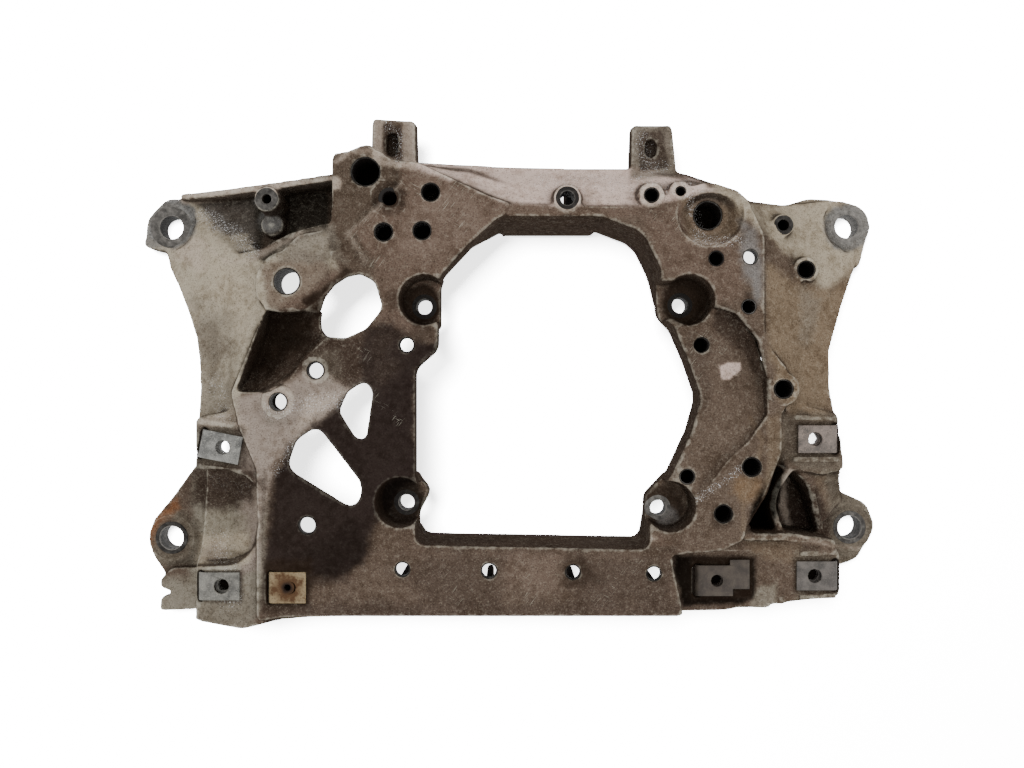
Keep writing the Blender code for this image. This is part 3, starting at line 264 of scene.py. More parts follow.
# Lines along which the finish is scratched through to bright metal: half width, and the line
SCRATCHED = [
    (11, [(420, 168), (486, 198), (505, 205)]), (10, [(402, 180), (378, 210), (350, 234)]),
    (12, [(415, 190), (440, 205), (470, 225)]), (8, [(352, 236), (366, 262), (385, 262)]),
    (7, [(560, 545), (640, 545)]), (9, [(440, 560), (455, 600)]), (8, [(520, 560), (530, 600)]),
    (9, [(640, 560), (600, 600)]), (7, [(660, 212), (700, 240)]), (9, [(690, 210), (650, 215)]),
    (7, [(745, 280), (765, 300)]), (8, [(700, 330), (720, 350)]), (6, [(370, 390), (400, 420)]),
    (6, [(355, 345), (370, 360)]), (6, [(690, 350), (700, 380)]),
]

# Lines and spots with white corrosion: half width, strength, and the line
SALTED = [
    (13, 0.6, [(205, 215), (235, 232), (250, 250)]), (9, 0.45, [(388, 126), (398, 134), (400, 160)]),
    (12, 0.4, [(642, 136), (646, 165), (662, 168)]), (6, 0.55, [(690, 503), (712, 490), (728, 478),
    (740, 470)]),
    (16, 0.15, [(215, 480), (240, 490)]), (20, 0.35, [(220, 540), (230, 600)]), (14, 0.5, [(270, 410),
    (340, 400)]),
    (14, 0.3, [(215, 380), (225, 420)]), (14, 0.35, [(540, 180), (640, 185), (700, 190)]),
    (9, 0.5, [(690, 196), (700, 240), (740, 240)]), (10, 0.4, [(300, 440), (275, 470)]),
]

# Bores: place in the layout, radius, foot, how bright the wall, the rim and the face are, low values being
# partly grime and partly painted shade in the bore and on its seat, and the face's radius; and the share of
# each radius at which its liner stands
BORE_LINED = 0.97
BORES = [
    (-258, 111, 9.15, 0.4, 0.2, 0.8, 0.5, 16.0), (-258, -126, 9.15, 0.4, 0.45, 1.0, 0.3, 12.4),
    (258, 112, 9.15, 0.4, 0.55, 0.95, 0.7, 12.6), (260, -118, 9.15, 0.4, 0.35, 0.8, 0.4, 12.6),
    (-157, 64, 8.9, 52.0, 0.1, 0.35, 0.0, 0), (-62, 48, 5.75, 36.6, 0.2, 0.45, 0.15, 9.6),
    (125, 49, 5.75, 36.6, 0.1, 0.4, 0.1, 9.6), (-75, -95, 5.75, 36.6, 0.2, 0.85, 0.25, 9.8),
    (109, -99, 5.75, 36.6, 0.25, 0.85, 0.6, 9.8),
    (-101, 141, 9.9, 43.0, 0.0, 0.3, 0.0, 0), (142, 112, 9.9, 43.0, 0.0, 0.4, 0.0, 0),
    (-84, 122, 5.35, 58.3, 0.0, 0.15, 0.12, 8.0), (-55, 126, 6.1, 58.3, 0.0, 0.2, 0.0, 0),
    (-88, 98, 6.1, 66.0, 0.05, 0.25, 0.0, 0), (-61, 99, 6.1, 66.0, 0.05, 0.25, 0.0, 0),
    (146, 80, 4.95, 56.3, 0.0, 0.2, 0.0, 0), (169, 46, 4.75, 56.3, 0.2, 0.5, 0.0, 0),
    (136, 19, 5.15, 56.3, 0.0, 0.2, 0.0, 0), (126, -74, 4.95, 56.3, 0.15, 0.3, 0.0, 0),
    (171, -67, 6.3, 56.3, 0.0, 0.1, 0.0, 0), (151, -100, 6.0, 56.3, 0.0, 0.1, 0.0, 0),
    (100, 124, 4.75, 56.3, 0.0, 0.3, 0.0, 0), (121, 127, 3.2, 56.3, 0.0, 0.3, 0.0, 0),
    (-136, 1, 5.6, 71.5, 0.1, 0.3, 0.0, 0), (-162, -21, 5.9, 71.5, 0.2, 0.45, 0.0, 0),
    (-72, 19, 4.85, 71.5, 0.05, 0.2, 0.0, 0), (-142, -108, 5.8, 71.5, 0.05, 0.25, 0.0, 0),
    (-75, -139, 4.85, 71.5, 0.05, 0.25, 0.0, 0), (-14, -140, 5.1, 71.5, 0.05, 0.25, 0.0, 0),
    (45, -141, 4.85, 71.5, 0.05, 0.25, 0.0, 0), (102, -142, 4.85, 71.5, 0.05, 0.25, 0.0, 0),
    (170, 81, 4.95, 68.0, 0.1, 0.4, 0.0, 0), (41, 122, 5.1, 60.0, 0.0, 0.45, 0.2, 8.4),
    (193, -12, 6.2, 40.5, 0.05, 0.25, 0.0, 0), (-175, 125, 3.6, 36.5, 0.0, 0.5, 0.4, 8.2),
    (201, 108, 4.25, 28.5, 0.0, 0.35, 0.3, 7.4), (217, 75, 6.1, 26.5, 0.05, 0.3, 0.0, 0),
]

# Raised rings and hollows in the layout: place, inner and outer radius, and height
SWELLS = [
    (-162, -21, 0, 12.0, 1.5), (-162, -21, 0, 8.6, -1.1), (-136, 1, 0, 10.5, 0.9),
    (-84, 122, 0, 12.5, -1.3),
    (-84, 122, 6.5, 9.0, 0.9), (41, 122, 0, 11.0, 1.0), (100, 124, 0, 9.5, 1.4), (121, 127, 0, 6.5, 0.9),
    (201, 108, 0, 10.0, 0.8), (142, 112, 14.0, 23.0, -1.2), (146, 80, 0, 8.5, -0.6),
    (169, 46, 0, 7.5, -0.5),
    (193, -12, 0, 12.5, 0.6), (-258, 111, 0, 18.5, 0.5), (258, 112, 0, 19.5, -0.5),
    (260, -118, 13.0, 17.0, -0.8),
    (-258, -126, 12.6, 16.0, -0.8), (-157, 64, 0, 20.0, 0.5),
]

# Fillets over the slots under the wings' edges at the upper ears, and a backing for the thin wall beside the
# left upper clip: place, turn in degrees, half sizes, and lowest and highest point
FILLETS = [(-248.6, 93.3, -62, 2.8, 6.5, 12.0, 22.4), (-242.7, 98.1, -40, 2.8, 6.5, 12.0, 23.2),
           (-239.0, 104.8, -18, 2.8, 6.5, 12.0, 23.2), (238.3, 108.5, 190, 2.8, 6.5, 12.0, 23.4),
           (241.0, 101.4, 212, 2.8, 6.5, 12.0, 24.0), (246.8, 95.4, 236, 2.8, 6.5, 12.0, 23.2),
           (-222.15, -58.2, 0, 1.3, 3.6, 21.0, 65.0)]

# Dark pads beside each clip's fold and, last, in the crescent: place, turn in degrees, face and half width;
# and its reach along the clip
FOLDS = [(-216, -51, -11, 70, 11.8), (-217, -152, 0, 70, 11.8), (-166, -152, 0, 75, 12.6),
         (232, -48, 180, 63, 11.8), (232, -146, 180, 63, 12.2), (138, -150, 0, 60, 12.6),
         (178, 19.5, 23, 64, 9.0)]
FOLD_REACH = 5.2
# Bores that look dark in the photograph, closed by a dark pad here alone: place, radius and level
BLOCKED = [(-154.5, -152, 4.4, 66), (149.5, -150, 4.4, 50), (219, -146, 5.2, 54), (-204, -152, 5.2, 60),
           (-89, 101.5, 8.0, 52), (-62, 102.5, 8.0, 52)]


def linear(tone):
    """Colour that shows as this tone under the lamps."""
    return np.clip(np.interp(tone, SHOWN, LEVEL) / WHITE_LEVEL, DARKEST, BRIGHTEST)


def front_view(points):
    """Where points in metres show from the front: u = 512 + (x - x0) f / d, v = 384 - (y - y0) f / d."""
    x, y, z = (points / MM).T
    scale = FOCAL_PIXELS / (CAMERA_PLACE[2] - z)
    return FRAME_MIDDLE[0] + (x - CAMERA_PLACE[0]) * scale, FRAME_MIDDLE[1] - (y - CAMERA_PLACE[1]) * scale


def line_distance(u, v, line, closed=False):
    """Distance to a line's nearest side; below zero inside a closed one, by the even-odd rule."""
    best, inside = np.full(len(u), 1e9), np.zeros(len(u), bool)
    ends = line[1:] + line[:1] if closed else line[1:]
    for (ax, ay), (bx, by) in zip(line, ends):
        dx, dy = bx - ax, by - ay
        t = np.clip(((u - ax) * dx + (v - ay) * dy) / (dx * dx + dy * dy), 0, 1)
        best = np.minimum(best, np.hypot(u - ax - t * dx, v - ay - t * dy))
        if closed and ay != by:
            inside ^= ((ay > v) != (by > v)) & (u < dx * (v - ay) / dy + ax)
    return np.where(inside, -best, best)


def ripple(u, v, size, seed):
    """Smooth pattern about 0: sine waves of about one wavelength in scattered directions, added up."""
    total = np.zeros_like(u)
    for k in range(8):
        angle, stretch = 2.4 * k + seed, 1 + 0.3 * math.sin(5.0 * k + seed)
        along = u * math.cos(angle) + v * math.sin(angle)
        total += np.sin(along * 2 * math.pi / size * stretch + 1.7 * k * k + 3.1 * seed)
    return total / 3.2


def step(value, low, high):
    """Smooth step from 0 at low to 1 at high."""
    t = np.clip((value - low) / (high - low), 0, 1)
    return t * t * (3 - 2 * t)


class Socket:
    """Wraps a shader socket so that + - * and the reflected forms add Math nodes."""

    def __init__(self, paint, socket):
        self.paint, self.socket = paint, socket

    def _math(self, operation, a, b):
        return self.paint.node("ShaderNodeMath", {"operation": operation}, [a, b])

    def __add__(self, other):
        return self._math("ADD", self, other)

    __radd__ = __add__

    def __sub__(self, other):
        return self._math("SUBTRACT", self, other)

    def __rsub__(self, other):
        return self._math("SUBTRACT", other, self)

    def __mul__(self, other):
        return self._math("MULTIPLY", self, other)

    __rmul__ = __mul__


class Paint:
    """A material's node tree, with one method for any node."""

    def __init__(self, name, metallic=0.0, roughness=0.6, gloss=0.3):
        self.material = bpy.data.materials.new(name)
        self.material.use_nodes = True
        self.tree = self.material.node_tree
        self.shader = self.tree.nodes["Principled BSDF"]
        self.shader.inputs["Metallic"].default_value = metallic
        self.shader.inputs["Roughness"].default_value = roughness
        self.shader.inputs["Specular IOR Level"].default_value = gloss

    def node(self, kind, settings, inputs, output=0):
        """Add a node: settings first, then each input's value or link, by place or by name."""
        made = self.tree.nodes.new(kind)
        for key, value in settings.items():
            setattr(made, key, value)
        pairs = inputs.items() if isinstance(inputs, dict) else enumerate(inputs)
        for key, value in pairs:
            if isinstance(value, Socket):
                self.tree.links.new(value.socket, made.inputs[key])
            elif value is not None:
                made.inputs[key].default_value = value
        return Socket(self, made.outputs[output])

    def coords(self):
        """Object coordinates in metres."""
        return self.node("ShaderNodeTexCoord", {}, [], "Object")

    def noise(self, vector, scale, detail=3.0, rough=0.55, warp=0.0):
        """Fractal noise between 0 and 1."""
        return self.node("ShaderNodeTexNoise", {}, {"Vector": vector, "Scale": scale, "Detail": detail,
                                                    "Roughness": rough, "Distortion": warp}, "Fac")

    def ramp(self, value, low, high):
        """Smooth step of a value from 0 at low to 1 at high."""
        return self.node("ShaderNodeMapRange", {"interpolation_type": "SMOOTHSTEP"},
                         {"Value": value, "From Min": low, "From Max": high})

    def mix(self, factor, a, b, blend="MIX"):
        """Mix of two colours."""
        colours = [c if isinstance(c, Socket) else (*c, 1.0) for c in (a, b)]
        return self.node("ShaderNodeMix", {"data_type": "RGBA", "blend_type": blend},
                         {0: factor, 6: colours[0], 7: colours[1]}, 2)

    def attribute(self, name, output="Fac"):
        """A number or colour stored on the mesh's points."""
        return self.node("ShaderNodeAttribute", {"attribute_name": name}, [], output)

    def stretched(self, vector, scale, turn):
        """Coordinates turned about Z and stretched, for streaks."""
        return self.node("ShaderNodeMapping", {"vector_type": "TEXTURE"},
                         {"Vector": vector, "Rotation": (0.0, 0.0, turn), "Scale": scale})

    def link(self, name, value):
        """Feed an input of the shader."""
        self.tree.links.new(value.socket, self.shader.inputs[name])

    def bump(self, height, distance, strength=1.0):
        """Bump from a height."""
        return self.node("ShaderNodeBump", {}, {"Strength": strength, "Distance": distance, "Height": height})


def cast_material():
    """Sand-cast aluminium: the patches' tint, mottled, grained, pitted, salted and scratched."""
    paint = Paint("cast_aluminium_weathered", metallic=0.0, roughness=0.62, gloss=0.0)
    place = paint.coords()
    tint = paint.attribute("tint", "Color")
    salt, scuff, edge, oil_and_shade = (paint.attribute(name) for name in ("salt", "scuff", "edge", "oil_and_shade"))
    cloud = paint.noise(place, 45.0, 5.0, 0.6)
    mottle = paint.noise(place, 210.0, 5.0, 0.65)
    grain = paint.noise(place, 950.0, 3.0, 0.7)
    sand = paint.noise(place, 520.0, 4.0, 0.65)
    sparkle = paint.noise(place, 1250.0, 2.0, 0.5)
    dark = paint.mix(1.0, tint, (0.66, 0.63, 0.60), "MULTIPLY")
    light = paint.mix(0.16, tint, tuple(linear((206, 200, 194))))
    colour = paint.mix(paint.ramp(cloud * 0.5 + mottle * 0.5, 0.36, 0.56), dark, tint)
    colour = paint.mix(paint.ramp(mottle * 0.4 + sand * 0.6, 0.50, 0.66) * (0.42 - oil_and_shade * 0.36), colour, light)
    colour = paint.mix(paint.ramp(grain, 0.48, 0.34) * 0.5, colour, tuple(linear((24, 18, 14))))
    colour = paint.mix(paint.ramp(grain, 0.55, 0.72) * (0.14 - oil_and_shade * 0.13), colour,
                       tuple(linear((205, 198, 190))))
    flecks = paint.ramp(sparkle + salt * 0.17, 0.64, 0.80)
    colour = paint.mix(flecks * paint.ramp(salt, 0.0, 0.35) * 0.7, colour, tuple(linear((222, 216, 208))))
    streak_a = paint.noise(paint.stretched(place, (1.0, 0.04, 1.0), 0.9), 80.0, 3.0, 0.6)
    streak_b = paint.noise(paint.stretched(place, (1.0, 0.05, 1.0), -0.5), 90.0, 3.0, 0.6)
    streaks = paint.node("ShaderNodeMath", {"operation": "MAXIMUM"},
                         [paint.ramp(streak_a, 0.62, 0.70), paint.ramp(streak_b, 0.64, 0.72)])
    worn = paint.ramp(edge * 0.7 + mottle, 1.0, 1.35) * (0.2 - oil_and_shade * 0.14)
    bare = paint.node("ShaderNodeMath", {"operation": "MAXIMUM"}, [streaks * scuff * 0.35, worn])
    colour = paint.mix(bare, colour, tuple(linear((206, 200, 194))))
    paint.link("Base Color", colour)
    paint.link("Roughness", cloud * 0.25 + 0.50 - oil_and_shade * 0.12)
    paint.link("Metallic", bare * 0.3 + 0.05)
    paint.link("Normal", paint.bump(grain * 0.6 + mottle * 0.9 - streaks * scuff * 0.3, 0.0005, 0.8))
    return paint.material


def machined_material():
    """Turned metal where the bore is bright; near black where it is not, which is partly grime and partly
    painted shade in the bores; with fine rings of tool marks.
    """
    paint = Paint("machined_bores", gloss=0.3)
    place = paint.coords()
    clean_and_lit = paint.attribute("clean_and_lit")
    turn = paint.attribute("turn")
    cloud = paint.noise(place, 240.0, 4.0, 0.6)
    rings = paint.node("ShaderNodeMath", {"operation": "SINE"}, [turn * 11.0 + cloud * 1.5])
    bright = paint.ramp(clean_and_lit + (cloud - 0.5) * 0.7, 0.15, 0.95)
    metal = paint.mix(cloud, tuple(linear((112, 110, 107))), tuple(linear((168, 165, 161))))
    paint.link("Base Color", paint.mix(bright, tuple(linear((22, 16, 12))), metal))
    paint.link("Metallic", bright * 0.55)
    paint.link("Roughness", 0.62 - bright * 0.22)
    paint.link("Normal", paint.bump(rings * 0.5 + cloud, 0.00012, 0.5))
    return paint.material


def zinc_material(name, tone):
    """Dull zinc plate with cloudy patches, dark specks and pale specks."""
    paint = Paint(name, metallic=0.25, roughness=0.5)
    place = paint.coords()
    cloud = paint.noise(place, 150.0, 5.0)
    grain = paint.noise(place, 1300.0, 2.0)
    base = tuple(linear(tone))
    dark = tuple(linear([c * 0.70 for c in tone]))
    colour = paint.mix(paint.ramp(cloud, 0.32, 0.68), dark, base)
    colour = paint.mix(paint.ramp(grain, 0.56, 0.7) * 0.35, colour, tuple(linear((96, 84, 72))))
    pale = tuple(linear([min(c * 1.25, 230) for c in tone]))
    colour = paint.mix(paint.ramp(grain, 0.44, 0.32) * 0.3, colour, pale)
    paint.link("Base Color", colour)
    paint.link("Roughness", cloud * 0.3 + 0.35)
    paint.link("Normal", paint.bump(grain * 0.4 + cloud, 0.00025, 0.5))
    return paint.material


def rust_material(centre):
    """Zinc gone to cream bloom at the rim and brown rust towards the middle."""
    paint = Paint("rusted_clip", metallic=0.0, roughness=0.8, gloss=0.2)
    place = paint.coords()
    cloud = paint.noise(place, 170.0, 6.0, 0.65)
    grain = paint.noise(place, 900.0, 3.0)
    moved = paint.node("ShaderNodeVectorMath", {"operation": "MULTIPLY_ADD"},
                       [place, (*RUST_SCALE, 0.0), (*(-c * s for c, s in zip(centre, RUST_SCALE)), 0.0)])
    far = paint.node("ShaderNodeVectorMath", {"operation": "LENGTH"}, [moved], "Value")
    bloom = paint.ramp(far + cloud * 2.2, 1.65, 2.25)
    colour = paint.mix(bloom, tuple(linear((96, 66, 40))), tuple(linear((160, 146, 118))))
    colour = paint.mix(paint.ramp(cloud, 0.52, 0.68) * 0.7, colour, tuple(linear((96, 64, 38))))
    colour = paint.mix(paint.ramp(far + cloud * 0.3, 0.62, 0.34), colour, tuple(linear((38, 25, 18))))
    colour = paint.mix(paint.ramp(grain, 0.55, 0.7) * 0.5, colour, tuple(linear((52, 34, 22))))
    paint.link("Base Color", colour)
    paint.link("Normal", paint.bump(grain, 0.0003, 0.8))
    return paint.material


def merged_copy(node, name):
    """Copy of a CAD node with its loose triangles joined."""
    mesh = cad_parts[node].data.copy()
    mesh.name = name
    work = bmesh.new()
    work.from_mesh(mesh)
    bmesh.ops.remove_doubles(work, verts=work.verts, dist=1e-6)
    work.to_mesh(mesh)
    work.free()
    mesh.materials.clear()
    piece = bpy.data.objects.new(name, mesh)
    bpy.context.scene.collection.objects.link(piece)
    return piece


def applied(piece):
    """Turn a piece's modifiers into its mesh."""
    bpy.context.view_layer.update()
    shown = piece.evaluated_get(bpy.context.evaluated_depsgraph_get())
    mesh = bpy.data.meshes.new_from_object(shown)
    piece.modifiers.clear()
    piece.data = mesh
    return piece


def points_of(mesh, kind="co"):
    """A mesh's points, or the normals at them, as one array."""
    values = np.empty(len(mesh.vertices) * 3, np.float32)
    if kind == "co":
        mesh.vertices.foreach_get("co", values)
    else:
        mesh.vertex_normals.foreach_get("vector", values)
    return values.reshape(-1, 3).astype(float)


def relief(mesh, rounds):
    """How far each point stands out from the surface averaged over some rounds of its neighbours."""
    points = points_of(mesh)
    edges = np.empty(len(mesh.edges) * 2, np.int32)
    mesh.edges.foreach_get("vertices", edges)
    edges = edges.reshape(-1, 2)
    both = np.concatenate([edges[:, 0], edges[:, 1]])
    others = np.concatenate([edges[:, 1], edges[:, 0]])
    count = np.maximum(np.bincount(both, minlength=len(points)), 1)[:, None]
    mean = points.copy()
    for _ in range(rounds):
        around = np.stack([np.bincount(both, mean[others, axis], len(points)) for axis in range(3)], 1)
        mean = 0.3 * mean + 0.7 * around / count
    return ((points - mean) * points_of(mesh, "normal")).sum(1) / MM


def store(mesh, name, values):
    """Keep a number, or a colour, on each point of the mesh."""
    if values.ndim == 2:
        attribute = mesh.attributes.new(name, "FLOAT_COLOR", "POINT")
        values = np.column_stack([values, np.ones(len(values))])
        attribute.data.foreach_set("color", values.astype(np.float32).ravel())
    else:
        attribute = mesh.attributes.new(name, "FLOAT", "POINT")
        attribute.data.foreach_set("value", values.astype(np.float32))


def kept(mesh, name):
    """A number that was kept on each point."""
    values = np.empty(len(mesh.vertices), np.float32)
    mesh.attributes[name].data.foreach_get("value", values)
    return values.astype(float)


def laid(base, tone, share):
    """Colours moved towards a finish by a share."""
    return base + (linear(TONES[tone]) - base) * share[:, None]


def paint_casting(mesh):
    """Tint, oil, salt and scuff of each point: patches and strokes over brown, some of them painted light and
    shade, then painted shade on steep walls, painted shade with some grime in hollows and round the clips,
    painted shade down the bores, and the back.

    A patch counts by a smooth step of the distance to its outline, which two ripples make ragged.
    """
    points, facing = points_of(mesh), points_of(mesh, "normal")[:, 2]
    u, v = front_view(points)
    rough = ripple(u, v, 34, 1.0) * 0.55 + ripple(u, v, 11, 2.0) * 0.3 + ripple(u, v, 5, 3.0) * 0.2
    tint = np.tile(linear(TONES["brown"]), (len(u), 1))
    oil_and_shade = np.zeros(len(u))
    for tone, strength, soft, outline in PATCHES:
        far = line_distance(u, v, outline, True) + rough * soft * 0.38
        share = strength * step(far, soft * 0.5, -soft * 0.5)
        tint = laid(tint, tone, share)
        # The oil mask also takes in the umber and darkest patches, which are partly painted shade
        oil_and_shade = oil_and_shade * (1 - share) + share * (tone in ("oil_black", "umber", "soot_and_shade"))
    for tone, strength, width, soft, line in STROKES:
        far = line_distance(u, v, line) + rough * soft * 0.4
        share = strength * step(far, width + soft * 0.5, width - soft * 0.5)
        tint = laid(tint, tone, share)
    salt, scuff = np.zeros(len(u)), np.zeros(len(u))
    for width, line in SCRATCHED:
        scuff = np.maximum(scuff, step(line_distance(u, v, line) + rough * 3, width, width * 0.4))
    for width, strength, line in SALTED:
        salt = np.maximum(salt, strength * step(line_distance(u, v, line) + rough * 3, width, width * 0.3))
    hollow, edge = kept(mesh, "hollow"), kept(mesh, "edge")
    # Steep walls, picked by their normals, are painted dark brown: painted shade, since walls that face away
    # from the lamps lie in shade
    wall = 0.9 * step(facing, 0.8, 0.45) * step(facing, -0.75, -0.45)
    tint = laid(tint, "wall_shade", wall)
    # Hollows go towards the darkest tone: painted shade of occlusion, partly grime as well
    tint = laid(tint, "soot_and_shade", 0.36 * hollow * step(facing, -0.3, 0.1))
    tint = laid(tint, "stone", 0.85 * step(facing, -0.3, -0.7))
    # A dark rim round each clip nut on the casting: partly dirt, partly painted shade where the clip meets
    # the casting
    for name in [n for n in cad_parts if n.startswith("clip_nut")]:
        low, high = (np.array(corner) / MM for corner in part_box(name))
        apart = np.abs(points / MM - (low + high) / 2) - (high - low) / 2
        share = step(np.hypot(*np.maximum(apart[:, :2], 0).T) + rough * 0.8, 4.0, 0.8)
        tint = laid(tint, "umber", 0.65 * share * step(points[:, 2] / MM, low[2] - 4, low[2]))
    # Each bore's wall is painted near black just below its top and marked oily: painted shade down the bore
    for x, y, radius, foot, *_ in BORES:
        near = np.hypot(points[:, 0] / MM - x - LAYOUT[0], points[:, 1] / MM - y - LAYOUT[1])
        top = np.median(points[(near > radius + 1) & (near < radius + 3) & (facing > 0.6), 2] / MM)
        share = step(near, radius + 1.2, radius + 0.4) * step(points[:, 2] / MM, top - 0.8, top - 2.0)
        tint = laid(tint, "soot_and_shade", 0.95 * share)
        oil_and_shade = np.maximum(oil_and_shade, share)
    store(mesh, "tint", tint)
    store(mesh, "oil_and_shade", oil_and_shade)
    store(mesh, "salt", salt * step(facing, 0.1, 0.5))
    store(mesh, "scuff", scuff * step(facing, 0.5, 0.8))
    mesh.attributes["edge"].data.foreach_set("value", (edge * step(facing, -0.2, 0.3)).astype(np.float32))


def swell(mesh):
    """Raised rings and hollows: front points move by a height times a smooth step of their distance."""
    points, facing = points_of(mesh), points_of(mesh, "normal")[:, 2]
    for x, y, inner, outer, height in SWELLS:
        far = np.hypot(points[:, 0] / MM - x - LAYOUT[0], points[:, 1] / MM - y - LAYOUT[1])
        share = step(far, outer + 0.9, outer - 0.9) * (step(far, inner - 1.2, inner + 0.6) if inner else 1.0)
        points[:, 2] += height * MM * share * step(facing, 0.3, 0.8)
    points[:, 2] = np.minimum(points[:, 2], CAST_TOP * MM)
    mesh.vertices.foreach_set("co", points.ravel())
    mesh.update()


def casting():
    """The casting: a copy of its CAD node remeshed on a fine grid and smoothed, so that corners are round."""
    piece = merged_copy("bracket_casting", "cast_bracket")
    add_fillets(piece.data)
    remesh = piece.modifiers.new("grid", "REMESH")
    remesh.mode = "VOXEL"
    remesh.voxel_size = CAST_GRID * MM
    remesh.use_smooth_shade = True
    soften = piece.modifiers.new("soften", "SMOOTH")
    soften.factor = 0.5
    soften.iterations = CAST_ROUNDS
    applied(piece)
    mesh = piece.data
    swell(mesh)
    store(mesh, "edge", np.clip(relief(mesh, 5) / 0.35, 0, 1))
    store(mesh, "hollow", np.clip(-relief(mesh, 26) / 1.1, 0, 1))
    faces = sum(len(p.vertices) - 2 for p in mesh.polygons)
    front = step(points_of(mesh, "normal")[:, 2], 0.55, 0.35)
    group = piece.vertex_groups.new(name="behind")
    for level in range(1, 5):
        spots = np.nonzero((front > (level - 1) / 4) & (front <= level / 4))[0]
        group.add(spots.tolist(), level / 4, "REPLACE")
    thin = piece.modifiers.new("thin", "DECIMATE")
    thin.ratio = min(1.0, CAST_FACES / faces)
    thin.vertex_group = "behind"
    applied(piece)
    piece.vertex_groups.clear()
    points = points_of(piece.data)
    points[:, 2] = np.clip(points[:, 2], 0, CAST_TOP * MM)
    piece.data.vertices.foreach_set("co", points.ravel())
    piece.data.shade_smooth()
    paint_casting(piece.data)
    piece.data.materials.append(cast_material())
    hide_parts("bracket_casting")
    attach(piece, "root")
    return piece


def ring_profile(radius, foot, top, clean_and_lit, rim, face, reach):
    """Closed section (r, z, how bright, where low is partly painted shade) of a bore's wall, its chamfered
    rim and its machined face.
    """
    lip = 0.5
    outer = max(reach, radius + lip + 0.5)
    return [(radius, foot, clean_and_lit), (radius, top - lip - 0.6, clean_and_lit), (radius, top - lip, rim),
            (radius + lip, top, rim), (radius + lip + 0.2, top, face if reach else rim * 0.6),
            (outer - 0.4, top, face if reach else rim * 0.3), (outer, top - 0.4, face if reach else 0.0),
            (outer, top - 1.4, 0.0), (radius + lip + 0.4, top - 1.4, 0.0), (radius + lip + 0.4, foot, 0.0)]


def ring_faces(turns, count, start):
    """Faces between rings of points, count to a section, that close round and across the section."""
    i, j = np.meshgrid(np.arange(turns), np.arange(count), indexing="ij")
    corners = [(i, j), ((i + 1) % turns, j), ((i + 1) % turns, (j + 1) % count), (i, (j + 1) % count)]
    return start + np.stack([(m * count + n).ravel() for m, n in corners], 1)


def bore_faces(cast):
    """Walls and faces of the bores: each ring is (cx + r cos a, cy + r sin a, z) round its own middle."""
    tree = BVHTree.FromObject(cast, bpy.context.evaluated_depsgraph_get())
    turns = 64
    angle = np.linspace(0, 2 * math.pi, turns, endpoint=False)[:, None]
    places, faces, clean_and_lit, turn = [], [], [], []
    for x, y, radius, foot, wall, rim, face, reach in BORES:
        cx, cy, radius = x + LAYOUT[0], y + LAYOUT[1], radius * BORE_LINED
        probe = max(radius + 1.3, reach - 1.0)
        around = np.linspace(0, 2 * math.pi, 16, endpoint=False)
        spots = [((cx + probe * math.cos(a)) * MM, (cy + probe * math.sin(a)) * MM, 0.12) for a in around]
        hits = [tree.ray_cast(Vector(spot), Vector((0, 0, -1)))[0] for spot in spots]
        heights = sorted(hit.z / MM for hit in hits if hit)
        top = heights[len(heights) // 3] + (0.12 if heights[-1] - heights[0] < 1.0 else -0.05)
        r, z, share = np.array(ring_profile(radius, foot, top, wall, rim, face, reach)).T[:, None, :]
        ring = np.stack([cx + r * np.cos(angle), cy + r * np.sin(angle), z + 0 * angle], 2).reshape(-1, 3)
        faces.append(ring_faces(turns, r.shape[1], sum(map(len, places))))
        places.append(ring * MM)
        clean_and_lit.append(np.tile(share.ravel(), turns))
        turn.append(np.tile(r.ravel() + z.ravel(), turns))
    mesh = bpy.data.meshes.new("bore_faces")
    mesh.from_pydata(np.concatenate(places).tolist(), [], np.concatenate(faces).tolist())
    work = bmesh.new()
    work.from_mesh(mesh)
    bmesh.ops.recalc_face_normals(work, faces=work.faces)
    work.to_mesh(mesh)
    work.free()
    store(mesh, "clean_and_lit", np.concatenate(clean_and_lit))
    store(mesh, "turn", np.concatenate(turn))
    mesh.shade_smooth()
    mesh.set_sharp_from_angle(angle=0.6)
    mesh.materials.append(machined_material())
    piece = bpy.data.objects.new("bore_faces", mesh)
    bpy.context.scene.collection.objects.link(piece)
    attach(piece, "root")
    return piece


def round_solid(places, profiles, stretch, turns=40):
    """Closed solids of rings: (a r C(t), b r S(t), z), turned and moved.

    C and S are the cosine and sine with their size raised to a power, which squares the ring off below 1.
    """
    angle = np.linspace(0, 2 * math.pi, turns, endpoint=False)[:, None]
    points, faces, start = [], [], 0
    for (cx, cy, turned), profile, (a, b, power) in zip(places, profiles, stretch):
        r, z = np.array(profile, float).T[:, None, :]
        c, s = (np.sign(w) * np.abs(w) ** power for w in (np.cos(angle), np.sin(angle)))
        x, y = a * r * c, b * r * s
        x, y = x * math.cos(turned) - y * math.sin(turned), x * math.sin(turned) + y * math.cos(turned)
        points.append(np.stack([cx + x, cy + y, z + 0 * angle], 2).reshape(-1, 3) * MM)
        faces.append(ring_faces(turns, r.shape[1], start))
        start += turns * r.shape[1]
    return np.concatenate(points), np.concatenate(faces)


